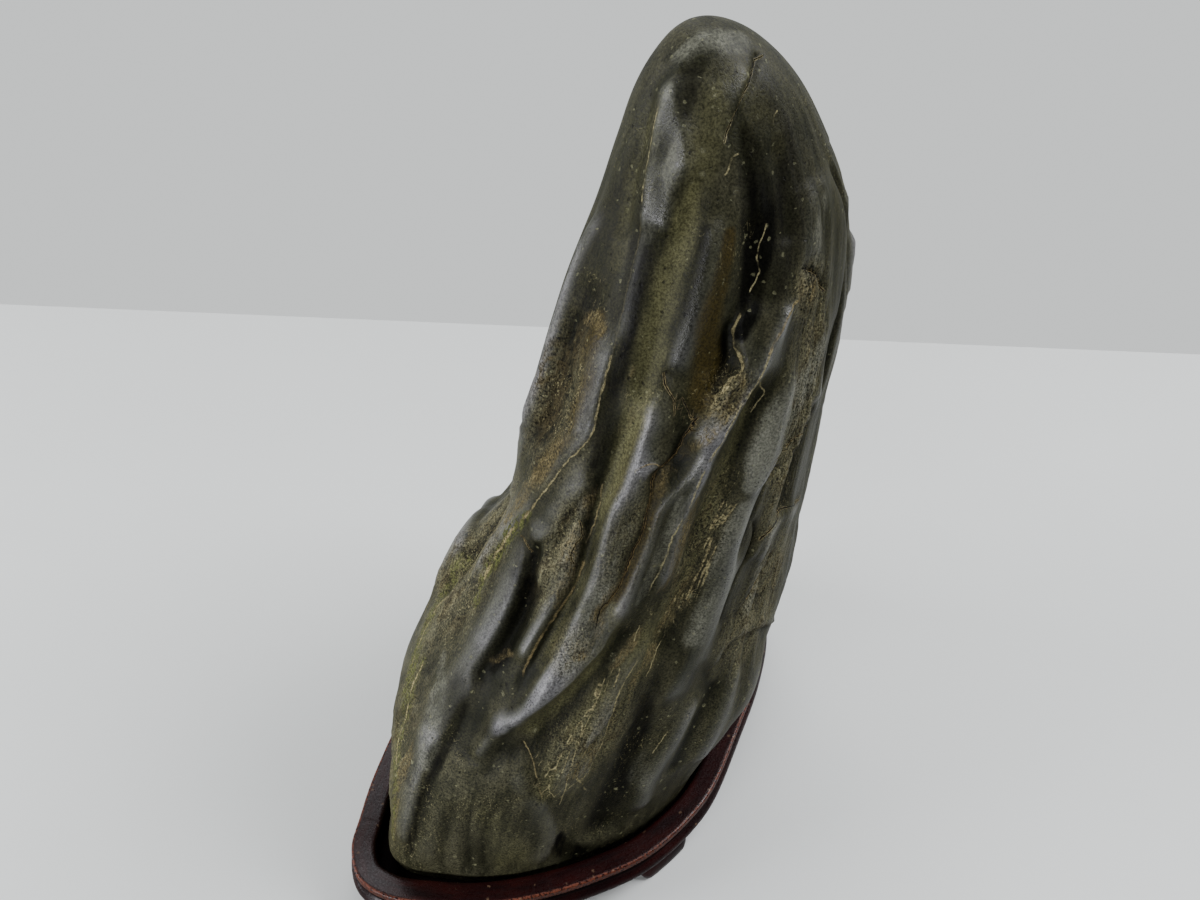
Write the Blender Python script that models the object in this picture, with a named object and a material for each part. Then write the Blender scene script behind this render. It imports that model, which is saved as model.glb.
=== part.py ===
"""A scholar's rock standing in its carved wooden seat.

The rock is a tall peak of dark, water-worn stone. Its long flutes, ledges and cracks run down
from the summit to a broad foot, and the foot drops into a recess carved to fit it. The seat is
one block of wood with a rim, a cove, a rounded bead and carved feet.

Frame: +Z up, the origin on the table under the middle of the seat. Azimuth 0 faces -Y, the
front, and grows towards +X. Heights on the rock are counted from the top of the seat's rim.
"""

import math

import bmesh
import bpy
import numpy as np

MM = 0.001
TWO_PI = 2 * math.pi

# ---------------------------------------------------------------- driving dimensions, in mm

RIM_TOP = 24.0          # height of the seat's rim above the table
RIM_WIDTH = 8.6         # flat top of the rim, from its outer edge to the recess
SEAT_DEPTH = 9.0        # how far the rock's underside lies below the rim
SEAT_GAP = 0.3          # clearance under the rock
PEAK = 274.6            # summit of the rock above the rim
BOARD_UNDERSIDE = 9.0   # underside of the seat's board above the table

ROCK_RINGS = 210
FRONT_SIDES = 160       # points of a ring within 100 degrees of the front
BACK_SIDES = 80         # points on the rest of it
ROCK_FACES = 6900       # triangles kept on the rock, denser where it folds
SEAT_SIDES = 70

# Outer edge of the rim, seen from above, anticlockwise from the left-hand corner.
RIM_OUTLINE = [
    (-84.5, -62.0), (-84.8, -73.5), (-79.5, -84.5), (-67.5, -90.5), (-52.0, -92.0),
    (-34.0, -91.8), (-12.0, -87.5), (8.0, -80.5), (26.0, -71.5), (42.0, -57.5), (54.0, -41.5),
    (66.0, -15.0), (77.0, 12.0), (84.0, 40.0), (82.5, 64.0), (68.0, 84.0), (42.0, 92.0),
    (8.0, 85.0), (-28.0, 62.0), (-56.0, 28.0), (-74.0, -8.0), (-82.0, -40.0),
]
FOOT_CENTRE = (4.5, -4.0)

# Level sections of the rock: height, centre x and y, half length, half breadth.
SECTIONS = [
    (-SEAT_DEPTH, 4.5, -4.0, 92.0, 51.0),
    (0.0, 4.5, -4.0, 95.0, 53.0),
    (40.0, 7.5, -2.0, 93.0, 53.0),
    (80.0, 13.5, 1.0, 83.0, 50.0),
    (120.0, 23.0, 5.0, 69.0, 44.0),
    (160.0, 30.5, 9.0, 61.0, 40.0),
    (200.0, 33.0, 11.0, 51.5, 34.0),
    (225.0, 33.5, 11.0, 41.0, 29.0),
    (245.0, 31.0, 9.5, 30.5, 23.0),
    (258.0, 28.5, 8.0, 23.0, 18.2),
    (268.0, 26.0, 6.5, 14.0, 11.6),
    (272.6, 24.5, 5.5, 7.0, 6.2),
    (PEAK, 23.5, 5.0, 0.5, 0.5),
]
SECTION_TURN = math.radians(46.0)   # the long axis runs from the front left to the back right
SECTION_POWER = 2.15                # a little squarer than an ellipse
FOOT_BLEND = 75.0                   # height over which the foot's outline becomes a section

# Gap between the recess and the rock at the rim, by azimuth in degrees.
SEAT_GAPS = [(-180, 2.0), (-110, 3.0), (-70, 4.5), (-50, 5.5), (-40, 3.2), (-20, 1.0), (0, 1.6),
             (30, 0.8), (60, 0.8), (90, 1.6), (130, 2.0), (180, 2.0)]

# Broad swellings and hollows: azimuth, height, half breadth, half height, push outwards.
SWELLINGS = [
    ("left shoulder", -88, 88, 22, 16, 2.6),
    ("right hip", 56, 40, 26, 28, 8.5),
    ("hollow over the shoulder", -84, 136, 20, 18, -8.0),
    ("right brow", 84, 226, 12, 24, 1.2),
    ("right waist", 84, 150, 26, 36, -3.5),
    ("right edge", 98, 156, 13, 15, -1.8),
    ("right haunch", 101, 92, 15, 18, -1.6),
    ("right toe", 72, 50, 14, 13, 2.6),
    ("front belly", -24, 88, 24, 30, 2.0),
    ("left flank", -72, 66, 20, 24, 2.4),
    ("left toe", -50, 18, 12, 13, -2.2),
    ("back shoulder", 178, 96, 30, 38, 7.0),
    ("back hollow", 205, 168, 24, 34, -5.0),
    ("back right buttress", 128, 52, 22, 46, 4.0),
    ("back brow", 165, 222, 16, 20, 3.0),
]

# Folds: name, kind, reach to the left and to the right, lift, then the line they follow as
# (azimuth, height). Ridges and grooves are soft, edges and creases crisp. A step is raised on
# the left of its line, going down it, or on the right where its lift is below zero; its two
# lengths are the softness of its edge and how far behind the edge the lift dies away.
FOLDS = [
    ("crown rim", "edge", 1.8, 2.0, 1.0,
     [(-14, 272.6), (-23, 270), (-28, 269.3), (-32.5, 267.5), (-36, 265.8), (-35.5, 262.5)]),
    ("crown crest", "ridge", 6.5, 3.2, 3.0,
     [(-36, 266), (-32, 261), (-28.5, 257), (-25.5, 253.5), (-24, 250), (-24, 246), (-25.5, 241),
      (-26.5, 234)]),
    ("crown bump", "ridge", 4.5, 5.0, 1.0,
     [(-14, 266), (-17, 260), (-17.5, 254), (-15, 246)]),
    ("summit bump", "ridge", 4.0, 4.0, 0.9,
     [(4, 273), (13, 270), (22, 267)]),
    ("temple groove", "groove", 3.4, 3.0, 1.5,
     [(-55, 264), (-53, 257), (-51, 250), (-48.5, 243), (-45.5, 233), (-43, 222)]),
    ("long ledge", "step", 1.3, 9.0, 2.0,
     [(-34.5, 211), (-34, 203), (-34, 195), (-34, 187), (-33.8, 181), (-35, 176), (-37.5, 171.5),
      (-40.5, 165), (-43, 157.5), (-44.5, 152.5), (-46, 145.5), (-47.5, 139), (-48.2, 131),
      (-49.4, 122), (-50, 113), (-49.5, 104)]),
    ("crown crack", "crease", 1.5, 1.5, 0.9,
     [(69, 267.5), (53, 267.5), (40, 266.5), (27, 264.5), (20, 263), (14, 261.3), (8.5, 259.5),
      (3, 257), (0, 255.3), (-2.5, 252)]),
    ("olive flute", "groove", 4.0, 4.0, 1.6,
     [(-19, 248), (-20.5, 238), (-21.5, 229), (-23, 219), (-23.2, 209), (-23, 199), (-24, 189)]),
    ("grey strip", "ridge", 2.6, 4.2, 2.2,
     [(-8, 243), (-9.5, 234), (-10.4, 226), (-11.6, 219), (-13, 212), (-14, 204), (-16, 196)]),
    ("dark flute", "groove", 9.0, 10.0, 3.4,
     [(9, 254), (8, 240), (6, 226), (4, 212), (1, 201), (-3, 190)]),
    ("chipped notch", "groove", 3.0, 1.8, 1.5,
     [(5, 211), (5, 204), (6, 198), (2, 193), (-3, 188)]),
    ("chipped lip", "step", 1.3, 9.0, -2.2,
     [(12, 217), (8, 212), (6, 208), (7, 204.5), (7.5, 202), (9.5, 198.5), (9.5, 195.5),
      (6, 194), (2, 191), (-2, 187.5), (-4.5, 185.5), (-6.5, 182), (-9, 177)]),
    ("brow rib", "ridge", 4.0, 4.0, 1.0,
     [(44, 250), (43, 236), (44, 224)]),
    ("long ridge", "edge", 2.4, 6.0, 3.6,
     [(-17.5, 199), (-19.5, 189.5), (-20.5, 181), (-21.2, 174), (-22.2, 166), (-23.7, 160.5),
      (-24.5, 154), (-24.4, 148), (-24, 140), (-23.8, 132), (-24, 124), (-24, 115), (-24.2, 106),
      (-25, 97), (-26.5, 87)]),
    ("olive valley", "groove", 4.0, 2.6, 2.6,
     [(-24.5, 190), (-25.4, 180), (-26, 170), (-27, 160), (-27, 150), (-26.4, 138), (-26.2, 126),
      (-27.2, 115), (-27.6, 104), (-28.6, 93), (-31, 82)]),
    ("split", "crease", 1.5, 1.5, 2.0,
     [(-6, 186), (-8, 181.5), (-9.5, 175.8), (-12, 173), (-14.5, 171), (-15.4, 168),
      (-14.8, 163), (-15, 157), (-14.7, 151), (-15.4, 145), (-15.6, 139), (-16, 133), (-17, 128),
      (-18.4, 123.5), (-18, 117)]),
    ("second ridge", "edge", 2.6, 4.2, 3.2,
     [(5, 187.5), (3, 184.5), (0, 182.5), (-2.8, 179), (-3, 175), (-4.4, 170.5), (-7, 166.5),
      (-10, 162.5), (-12, 158.5), (-12.6, 153), (-12.6, 145), (-13.2, 138), (-13.5, 131),
      (-14, 124), (-14.3, 116)]),
    ("second ridge foot", "edge", 6.0, 1.8, 3.0,
     [(-13.8, 123), (-14.2, 117), (-14.6, 112), (-16, 108.5), (-17.6, 105), (-19, 101.5),
      (-21, 98), (-23.6, 93), (-27, 85), (-30, 76)]),
    ("third ridge", "edge", 2.0, 5.5, 2.8,
     [(50, 214), (42, 212), (36, 211), (31, 209.7), (27, 208), (23.5, 205), (20.5, 202),
      (18.5, 199), (16.7, 196), (14.6, 192), (12, 190), (9, 188), (6.6, 185.5), (3, 181),
      (0, 177), (-1, 173), (-1.3, 169.5), (-2.5, 164.5), (-4, 160.5), (-5, 154), (-5, 148),
      (-4.3, 140), (-4, 132), (-3.4, 122)]),
    ("speckled valley", "groove", 7.0, 6.0, 2.8,
     [(26, 196), (18, 184), (12.5, 173), (9.5, 162), (8, 152), (7.6, 142), (8, 131), (8, 120),
      (6, 108), (3, 96)]),
    ("pocket shelf", "ridge", 4.5, 4.0, 1.6,
     [(-30.5, 184), (-31.5, 175), (-34, 166), (-38, 157), (-40, 148)]),
    ("dark pocket", "groove", 2.4, 3.2, 6.0,
     [(-39.6, 146), (-39, 138), (-38, 130), (-37, 122), (-36.2, 114), (-35.8, 106), (-36.2, 98),
      (-37, 89)]),
    ("pocket lip", "step", 1.3, 9.0, 2.0,
     [(-39.5, 146), (-40.6, 137), (-40.4, 129), (-39.8, 121), (-38.8, 113), (-38.4, 104)]),
    ("valley under the pocket", "groove", 4.5, 4.5, 1.8,
     [(-36, 98), (-35.6, 90), (-34.8, 82), (-34.6, 73), (-35, 64)]),
    ("flake", "edge", 2.4, 2.2, 2.4,
     [(-28.8, 166), (-31, 160), (-32.2, 152), (-32, 144), (-31, 136), (-30.4, 128), (-30.8, 120),
      (-32, 111), (-32.6, 101)]),
    ("left rib", "ridge", 7.0, 5.0, 3.6,
     [(-40, 160), (-42, 150), (-42.6, 140), (-42.4, 128), (-42, 116), (-42.3, 104), (-43.5, 92),
      (-44.5, 80), (-44, 68), (-42.5, 57)]),
    ("toe edge", "ridge", 5.0, 4.0, 1.4,
     [(-43.8, 72), (-42.5, 60), (-41.3, 49), (-40.7, 38), (-41.2, 26), (-42.5, 12)]),
    ("rib seam", "groove", 3.0, 3.0, 1.4,
     [(-40, 104), (-40, 94), (-40.6, 84), (-41, 74), (-40, 62)]),
    ("flank groove", "groove", 5.0, 5.0, 2.4,
     [(-50, 218), (-50, 202), (-49, 188), (-50, 174), (-54, 162)]),
    ("flank rib", "ridge", 3.0, 4.5, 1.8,
     [(-62, 234), (-60, 214), (-59, 196), (-60, 178), (-64, 160)]),
    ("shoulder notch", "groove", 4.5, 4.5, 4.0,
     [(-66, 158), (-65, 146), (-65, 134), (-66, 120), (-67, 104), (-68, 90)]),
    ("shoulder top", "step", 2.0, 24.0, -3.4,
     [(-62, 103), (-72, 108), (-86, 107), (-98, 102), (-116, 93)]),
    ("grey rib", "ridge", 5.0, 9.0, 3.0,
     [(44, 202), (38, 191), (33, 183), (29.5, 177), (25.5, 169.5), (23.3, 163), (22.8, 156),
      (21.3, 149), (21, 141), (22, 133), (23.2, 125), (23.6, 114), (21, 100), (17, 86), (13, 72),
      (11, 58)]),
    ("upper flake edge", "step", 1.3, 9.0, 1.3,
     [(73, 156), (60, 161), (51.5, 162), (45, 160), (38, 162), (31, 163), (28, 157), (26, 150)]),
    ("lower flake edge", "step", 1.3, 9.0, -1.3,
     [(86, 121), (68, 127.5), (56, 130), (48, 130), (41, 128), (37, 120)]),
    ("right valley", "crease", 2.0, 3.0, 1.6,
     [(60, 200), (52, 186), (46, 174), (43, 160), (40, 146), (37, 132), (35, 118), (33, 104)]),
    ("right rib", "edge", 3.0, 6.0, 2.2,
     [(70, 206), (62, 190), (56, 174), (53, 158), (51, 142), (49, 126), (47, 110)]),
    ("right scoop", "groove", 5.0, 5.0, 2.4,
     [(72, 170), (66, 156), (62, 142), (60, 126)]),
    ("slanting ledge", "step", 1.3, 12.0, 2.0,
     [(88, 60), (77, 68.5), (64.5, 78.5), (56, 82), (48, 86), (42, 85.5), (38, 81), (33, 77)]),
    ("edge cleft", "groove", 1.8, 2.2, 2.4,
     [(74, 240), (78, 228), (80, 216), (79, 204), (76, 190), (73, 176), (74, 160)]),
    ("belly flute", "groove", 5.0, 8.0, 2.2,
     [(-10, 120), (-11, 111), (-13.6, 104), (-16.6, 96), (-19.6, 87), (-23, 76), (-26, 64)]),
    ("belly fold", "ridge", 7.0, 7.0, 1.6,
     [(-2, 114), (-5, 98), (-7, 82), (-9, 66), (-12, 48)]),
    ("belly seam", "step", 1.3, 9.0, 1.0,
     [(0, 104), (-2, 95), (-3, 87.5), (-3, 80), (-4.5, 72), (-8, 68), (-10.5, 62)]),
    ("foot flute left", "groove", 1.8, 1.8, 1.0,
     [(-27.2, 44), (-27, 28), (-27, 12), (-27, 0)]),
    ("foot flute middle", "groove", 1.8, 1.8, 0.9,
     [(-23, 42), (-23, 26), (-23, 10), (-23, 0)]),
    ("foot flute right", "groove", 3.0, 3.0, 1.4,
     [(-18, 38), (-17.4, 22), (-17, 4)]),
    ("dark foot flute", "groove", 6.0, 6.0, 2.6,
     [(15, 84), (10, 70), (6, 55), (4, 40), (3, 22), (3, 6)]),
    ("right foot fold", "ridge", 5.0, 5.0, 2.0,
     [(30, 74), (24, 60), (20, 46), (18, 30), (17, 14)]),
    ("right foot groove", "groove", 4.0, 4.0, 1.6,
     [(42, 72), (35, 58), (30, 44), (28, 30)]),
    ("right foot rib", "ridge", 4.0, 4.0, 1.6,
     [(54, 72), (47, 60), (42, 44), (39, 28)]),
    ("back flute 1", "groove", 6.0, 6.0, 4.0,
     [(104, 226), (101, 214), (103, 196), (107, 168), (110, 138), (109, 108), (106, 78)]),
    ("back rib 1", "ridge", 6.0, 6.0, 3.2,
     [(119, 206), (119, 186), (124, 156), (127, 122), (126, 88), (122, 56)]),
    ("back flute 2", "groove", 7.0, 7.0, 4.4,
     [(140, 238), (137, 210), (139, 182), (143, 152), (146, 120), (146, 88), (143, 58)]),
    ("back step", "step", 1.8, 12.0, 3.0,
     [(118, 212), (128, 196), (139, 184), (151, 175), (165, 169)]),
    ("back rib 2", "ridge", 7.0, 7.0, 4.0,
     [(164, 236), (160, 208), (162, 178), (168, 148), (172, 116), (172, 82), (168, 50)]),
    ("back flute 3", "groove", 6.0, 6.0, 4.2,
     [(190, 232), (186, 204), (187, 176), (190, 148), (194, 118), (195, 88), (192, 58)]),
    ("back pocket", "groove", 5.0, 5.0, 5.0,
     [(203, 134), (206, 120), (207, 104), (205, 90)]),
    ("back rib 3", "ridge", 6.5, 6.5, 3.4,
     [(214, 224), (210, 196), (212, 168), (216, 140), (219, 110), (218, 80), (214, 48)]),
    ("back flute 4", "groove", 6.0, 6.0, 3.4,
     [(236, 220), (232, 194), (234, 168), (238, 138), (240, 108), (238, 78)]),
    ("back rib 4", "ridge", 6.0, 6.0, 3.0,
     [(254, 206), (250, 182), (252, 158), (256, 132), (258, 104), (257, 74), (254, 46)]),
    ("back split", "groove", 2.0, 2.0, 2.4,
     [(152, 132), (156, 114), (155, 96), (158, 78), (162, 62)]),
]
SMALL_RIPPLE = 0.5      # height of the low ripples that run down the whole rock
FADE_INTO_SEAT = 14.0   # height over which the folds fade where the rock enters the recess
END_TAPER = 0.13        # share of a fold's length over which it rises from nothing
CRISPNESS = 0.16        # rounding of the line of an edge or a crease, as a share of its reach

# The seat's profile from the recess to the underside: distance outside the rim's outer edge
# (negative inside it) and height above the table.
SEAT_PROFILE = [
    (-RIM_WIDTH - 0.7, RIM_TOP - SEAT_DEPTH - SEAT_GAP),
    (-RIM_WIDTH - 0.4, 18.5),
    (-RIM_WIDTH, 22.4),
    (-8.0, 23.3),
    (-4.5, 23.8),
    (-0.9, RIM_TOP),
    (0.0, 23.3),
    (0.1, 20.6),
    (-1.4, 19.4),
    (-2.0, 17.8),
    (-1.5, 16.4),
    (0.3, 15.6),
    (1.5, 13.8),
    (1.3, 11.6),
    (-0.4, 9.8),
    (-3.0, BOARD_UNDERSIDE),
]
FLOOR_RINGS = (0.8, 0.45)   # shrinking rings that close the recess and the underside

# Feet: five, spread evenly along the rim, the first one at the front right.
FOOT_COUNT = 5
FIRST_FOOT = (36.0, -64.0)  # the point of the rim over the middle of the first foot
FOOT_LENGTH = 27.0
FOOT_SPLAY = 4.0            # how much shorter the foot is at each end where it stands
FOOT_INNER = -13.0          # distance of its inner face from the rim's outer edge
FOOT_OVERLAP = 3.0          # how far it runs up into the board
FOOT_SLICES = 8
FOOT_PROFILE = [(0.0, 0.0), (1.0, 1.0), (1.3, 3.2), (0.6, 5.8), (-1.0, 8.4)]


# ---------------------------------------------------------------- curves and sections

def smooth(x):
    """Eases from 0 to 1 as x goes from 0 to 1."""
    x = np.clip(x, 0.0, 1.0)
    return x * x * (3 - 2 * x)


def spline(points, steps, closed):
    """A Catmull-Rom curve through the points, with so many steps in each span."""
    p = np.array(points, float)
    count = len(p)
    spans = count if closed else count - 1
    if not closed:
        p = np.vstack([2 * p[0] - p[1], p, 2 * p[-1] - p[-2]])
    out = []
    for i in range(spans):
        a, b, c, d = (p[(i + k - 1) % count] if closed else p[i + k] for k in range(4))
        for t in np.arange(steps) / steps:
            out.append(0.5 * (2 * b + (c - a) * t + (2 * a - 5 * b + 4 * c - d) * t ** 2
                              + (3 * b - a - 3 * c + d) * t ** 3))
    if not closed:
        out.append(p[-2])
    return np.array(out)


def even(points, count):
    """So many points spread evenly along a closed line, starting at its first point."""
    loop = np.vstack([points, points[:1]])
    length = np.concatenate([[0], np.cumsum(np.linalg.norm(np.diff(loop, axis=0), axis=1))])
    at = np.arange(count) / count * length[-1]
    return np.stack([np.interp(at, length, loop[:, k]) for k in (0, 1)], axis=1)


def outward(loop):
    """Unit vectors square to a closed anticlockwise line, pointing out."""
    along = np.roll(loop, -1, axis=0) - np.roll(loop, 1, axis=0)
    normal = np.stack([along[:, 1], -along[:, 0]], axis=1)
    return normal / np.linalg.norm(normal, axis=1)[:, None]


RIM = even(spline(RIM_OUTLINE, 12, closed=True), 720)
RIM -= (RIM.min(axis=0) + RIM.max(axis=0)) / 2
RIM_OUT = outward(RIM)


def recess_radius(azimuth):
    """Distance from the foot's centre to the recess wall, for azimuths in degrees."""
    wall = RIM - RIM_OUT * (RIM_WIDTH + 0.7) - np.array(FOOT_CENTRE)
    angle = np.degrees(np.arctan2(wall[:, 0], -wall[:, 1]))
    order = np.argsort(angle)
    return np.interp(azimuth, angle[order], np.linalg.norm(wall, axis=1)[order], period=360)


def section_at(height):
    """Centre x and y, half length and half breadth at each height, on a monotone cubic."""
    table = np.array(SECTIONS)
    x, y = table[:, 0], table[:, 1:]
    width = np.diff(x)
    slope = np.diff(y, axis=0) / width[:, None]
    tangent = np.zeros_like(y)
    tangent[0], tangent[-1] = slope[0], slope[-1]
    for i in range(1, len(x) - 1):
        low, high = slope[i - 1], slope[i]
        same = low * high > 0
        safe_low, safe_high = np.where(same, low, 1), np.where(same, high, 1)
        w1, w2 = 2 * width[i] + width[i - 1], width[i] + 2 * width[i - 1]
        tangent[i] = np.where(same, (w1 + w2) / (w1 / safe_low + w2 / safe_high), 0)
    i = np.clip(np.searchsorted(x, height) - 1, 0, len(x) - 2)
    w = width[i][:, None]
    t = ((height - x[i]) / width[i])[:, None]
    return (y[i] * (1 + 2 * t) * (1 - t) ** 2 + tangent[i] * w * t * (1 - t) ** 2
            + y[i + 1] * t * t * (3 - 2 * t) + tangent[i + 1] * w * t * t * (t - 1))


def body_point(azimuth, height):
    """Points of the plain body of the rock, before its folds, in mm above the rim."""
    azimuth, height = np.asarray(azimuth, float), np.asarray(height, float)
    way = np.stack([np.sin(np.radians(azimuth)), -np.cos(np.radians(azimuth))], axis=1)
    x, y, length, breadth = section_at(height).T
    turned = np.radians(azimuth - 90) - SECTION_TURN
    radius = (np.abs(np.cos(turned) / length) ** SECTION_POWER
              + np.abs(np.sin(turned) / breadth) ** SECTION_POWER) ** (-1 / SECTION_POWER)
    peak = np.stack([x, y], axis=1) + way * radius[:, None]
    gap = np.interp(azimuth, *np.array(SEAT_GAPS).T, period=360)
    reach = recess_radius(azimuth) - gap - 1.2 * smooth(-height / SEAT_DEPTH)
    foot = np.array(FOOT_CENTRE) + way * reach[:, None]
    share = smooth(height / FOOT_BLEND)[:, None]
    return np.column_stack([foot * (1 - share) + peak * share, height])


# ---------------------------------------------------------------- the rock's folds

def beside(points, normals, line):
    """Each point's distance from a line, its side of it, and how far along the line it is."""
    step = np.diff(line, axis=0)
    run = np.linalg.norm(step, axis=1)
    start = np.concatenate([[0], np.cumsum(run)])
    best = np.full(len(points), 1e9)
    side, along = np.zeros(len(points)), np.zeros(len(points))
    for i in range(len(step)):
        away = points - line[i]
        t = np.clip(away @ step[i] / run[i] ** 2, 0, 1)
        off = away - t[:, None] * step[i]
        distance = np.linalg.norm(off, axis=1)
        nearer = distance < best
        turn = np.einsum("ij,ij->i", np.cross(step[i] / run[i], off), normals)
        best = np.where(nearer, distance, best)
        side = np.where(nearer, turn, side)
        along = np.where(nearer, start[i] + t * run[i], along)
    return best, side, along / start[-1]


def fold_height(kind, left, right, lift, distance, side, along):
    """How far one fold lifts the surface. Its side is below zero on the left of its line."""
    ends = smooth(along / END_TAPER) * smooth((1 - along) / END_TAPER)
    if kind == "step":
        rise = 0.5 * (1 + np.tanh(-side / left * np.sign(lift)))
        return abs(lift) * ends * rise * np.exp(-(distance / right) ** 2)
    reached = distance / np.where(side < 0, left, right)
    shape = np.exp(-reached ** 2)
    if kind in ("edge", "crease"):
        shape = np.exp(CRISPNESS - np.sqrt(reached ** 2 + CRISPNESS ** 2))
    return lift * ends * shape * (1 if kind in ("ridge", "edge") else -1)


def ripple(azimuth, height):
    """Low ripples that run down the rock and wander a little."""
    a = np.radians(azimuth)
    drift = 0.5 * np.sin(height / 31) + 0.3 * np.sin(height / 17 + 2 * a)
    return (0.45 * np.sin(17 * a + 2.1 * drift) + 0.35 * np.sin(29 * a - 3.0 * drift + 1.7)
            + 0.3 * np.sin(11 * a + height / 23))


def fold_rock(points, normals, azimuth, height):
    """Total push along the normals, in mm, for points of the plain body."""
    push = np.zeros(len(points))
    for _, at_azimuth, at_height, breadth, tall, amount in SWELLINGS:
        centre = body_point([at_azimuth], [at_height])[0]
        across = np.linalg.norm((points - centre)[:, :2], axis=1)
        push += amount * np.exp(-(across / breadth) ** 2 - ((height - at_height) / tall) ** 2)
    for _, kind, left, right, lift, line in FOLDS:
        path = spline(line, 4, closed=False)
        path = body_point(path[:, 0], path[:, 1])
        reach = 3 * max(left, right)
        low, high = path.min(axis=0) - reach, path.max(axis=0) + reach
        near = np.all((points > low) & (points < high), axis=1)
        found = beside(points[near], normals[near], path)
        push[near] += fold_height(kind, left, right, lift, *found)
    push += SMALL_RIPPLE * ripple(azimuth, height) * smooth((PEAK - height) / 60)
    seated = smooth((height + 2) / FADE_INTO_SEAT)
    return np.where(push > 0, push * seated, push * np.maximum(seated, 0.15))


# ---------------------------------------------------------------- building meshes

def add_object(name, mesh, colour, roughness):
    """Links a mesh as one named object with its own material."""
    material = bpy.data.materials.new(name)
    material.use_nodes = True
    shader = material.node_tree.nodes["Principled BSDF"]
    shader.inputs["Base Color"].default_value = (*colour, 1.0)
    shader.inputs["Roughness"].default_value = roughness
    shader.inputs["Metallic"].default_value = 0.0
    mesh.materials.append(material)
    mesh.shade_smooth()
    obj = bpy.data.objects.new(name, mesh)
    bpy.context.scene.collection.objects.link(obj)
    return obj


def loft(bm, rings):
    """Joins rings of equal length into a skin and closes both ends on a centre point."""
    loops = [[bm.verts.new(p * MM) for p in ring] for ring in rings]
    count = len(loops[0])
    for lower, upper in zip(loops, loops[1:]):
        for j in range(count):
            k = (j + 1) % count
            bm.faces.new((lower[j], lower[k], upper[k], upper[j]))
    for loop, ring, turn in ((loops[0], rings[0], -1), (loops[-1], rings[-1], 1)):
        centre = bm.verts.new(np.mean(ring, axis=0) * MM)
        for j in range(count):
            k = (j + 1) % count
            bm.faces.new((loop[j], loop[k], centre)[::turn])


def mesh_from(bm, name):
    mesh = bpy.data.meshes.new(name)
    bmesh.ops.recalc_face_normals(bm, faces=bm.faces)
    bm.to_mesh(mesh)
    bm.free()
    return mesh


def ring_heights():
    """Heights of the rock's rings, evenly spaced along its slope."""
    fine = np.linspace(-SEAT_DEPTH, PEAK - 0.05, 2000)
    _, _, length, breadth = section_at(fine).T
    slope = np.hypot(np.diff(fine), np.diff(np.sqrt(length * breadth)))
    run = np.concatenate([[0], np.cumsum(slope)])
    return np.interp(np.linspace(0, run[-1], ROCK_RINGS), run, fine)


def build_rock():
    """The rock: level rings of its body, pushed out and in by its folds."""
    heights = ring_heights()
    azimuths = np.concatenate([np.linspace(-100, 100, FRONT_SIDES, endpoint=False),
                               np.linspace(100, 260, BACK_SIDES, endpoint=False)])
    sides = len(azimuths)
    height, azimuth = (g.ravel() for g in np.meshgrid(heights, azimuths, indexing="ij"))
    points = body_point(azimuth, height)
    grid = points.reshape(ROCK_RINGS, sides, 3)
    around = np.roll(grid, -1, axis=1) - np.roll(grid, 1, axis=1)
    normals = np.cross(around, np.gradient(grid, axis=0)).reshape(-1, 3)
    normals /= np.linalg.norm(normals, axis=1)[:, None]
    points = points + normals * fold_rock(points, normals, azimuth, height)[:, None]
    points[:, 2] += RIM_TOP
    points[:, 2] = np.maximum(points[:, 2], RIM_TOP - SEAT_DEPTH)
    rings = list(points.reshape(ROCK_RINGS, sides, 3))
    middle = np.array([*FOOT_CENTRE, RIM_TOP - SEAT_DEPTH])
    underside = [middle + (rings[0] - middle) * share for share in (0.35, 0.7, 0.93)]
    bm = bmesh.new()
    loft(bm, underside + rings)
    rock = add_object("rock", mesh_from(bm, "rock"), (0.075, 0.078, 0.062), 0.35)
    thin = rock.modifiers.new("keep the folds", "DECIMATE")
    thin.ratio = ROCK_FACES / (2 * sides * (ROCK_RINGS + len(underside)))
    return rock


def rim_place(share):
    """Points on the rim's outer edge and their outward directions, by share of the way round."""
    at = np.asarray(share) % 1 * len(RIM)
    index = np.arange(len(RIM))
    place = np.stack([np.interp(at, index, RIM[:, k], period=len(RIM)) for k in (0, 1)], axis=1)
    out = np.stack([np.interp(at, index, RIM_OUT[:, k], period=len(RIM)) for k in (0, 1)], axis=1)
    return place, out / np.linalg.norm(out, axis=1)[:, None]


def build_foot(share):
    """One carved foot: a bulging block that follows the rim and tapers to its ends."""
    perimeter = np.linalg.norm(np.roll(RIM, -1, axis=0) - RIM, axis=1).sum()
    top = BOARD_UNDERSIDE + FOOT_OVERLAP
    outline = FOOT_PROFILE + [(-3.2, top), (FOOT_INNER, top), (FOOT_INNER, 0.0)]
    slices = []
    for t in np.linspace(-1, 1, FOOT_SLICES):
        bulge = 1 - 0.35 * t ** 4
        section = []
        for offset, z in outline:
            half = FOOT_LENGTH / 2 - FOOT_SPLAY * (1 - z / top) ** 1.5
            place, out = rim_place([share + t * half / perimeter])
            reach = FOOT_INNER + (offset - FOOT_INNER) * (bulge if offset > FOOT_INNER else 1)
            section.append([*(place[0] + out[0] * reach), z])
        slices.append(np.array(section))
    bm = bmesh.new()
    loft(bm, slices)
    foot = bpy.data.objects.new("foot", mesh_from(bm, "foot"))
    bpy.context.scene.collection.objects.link(foot)
    return foot


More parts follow.
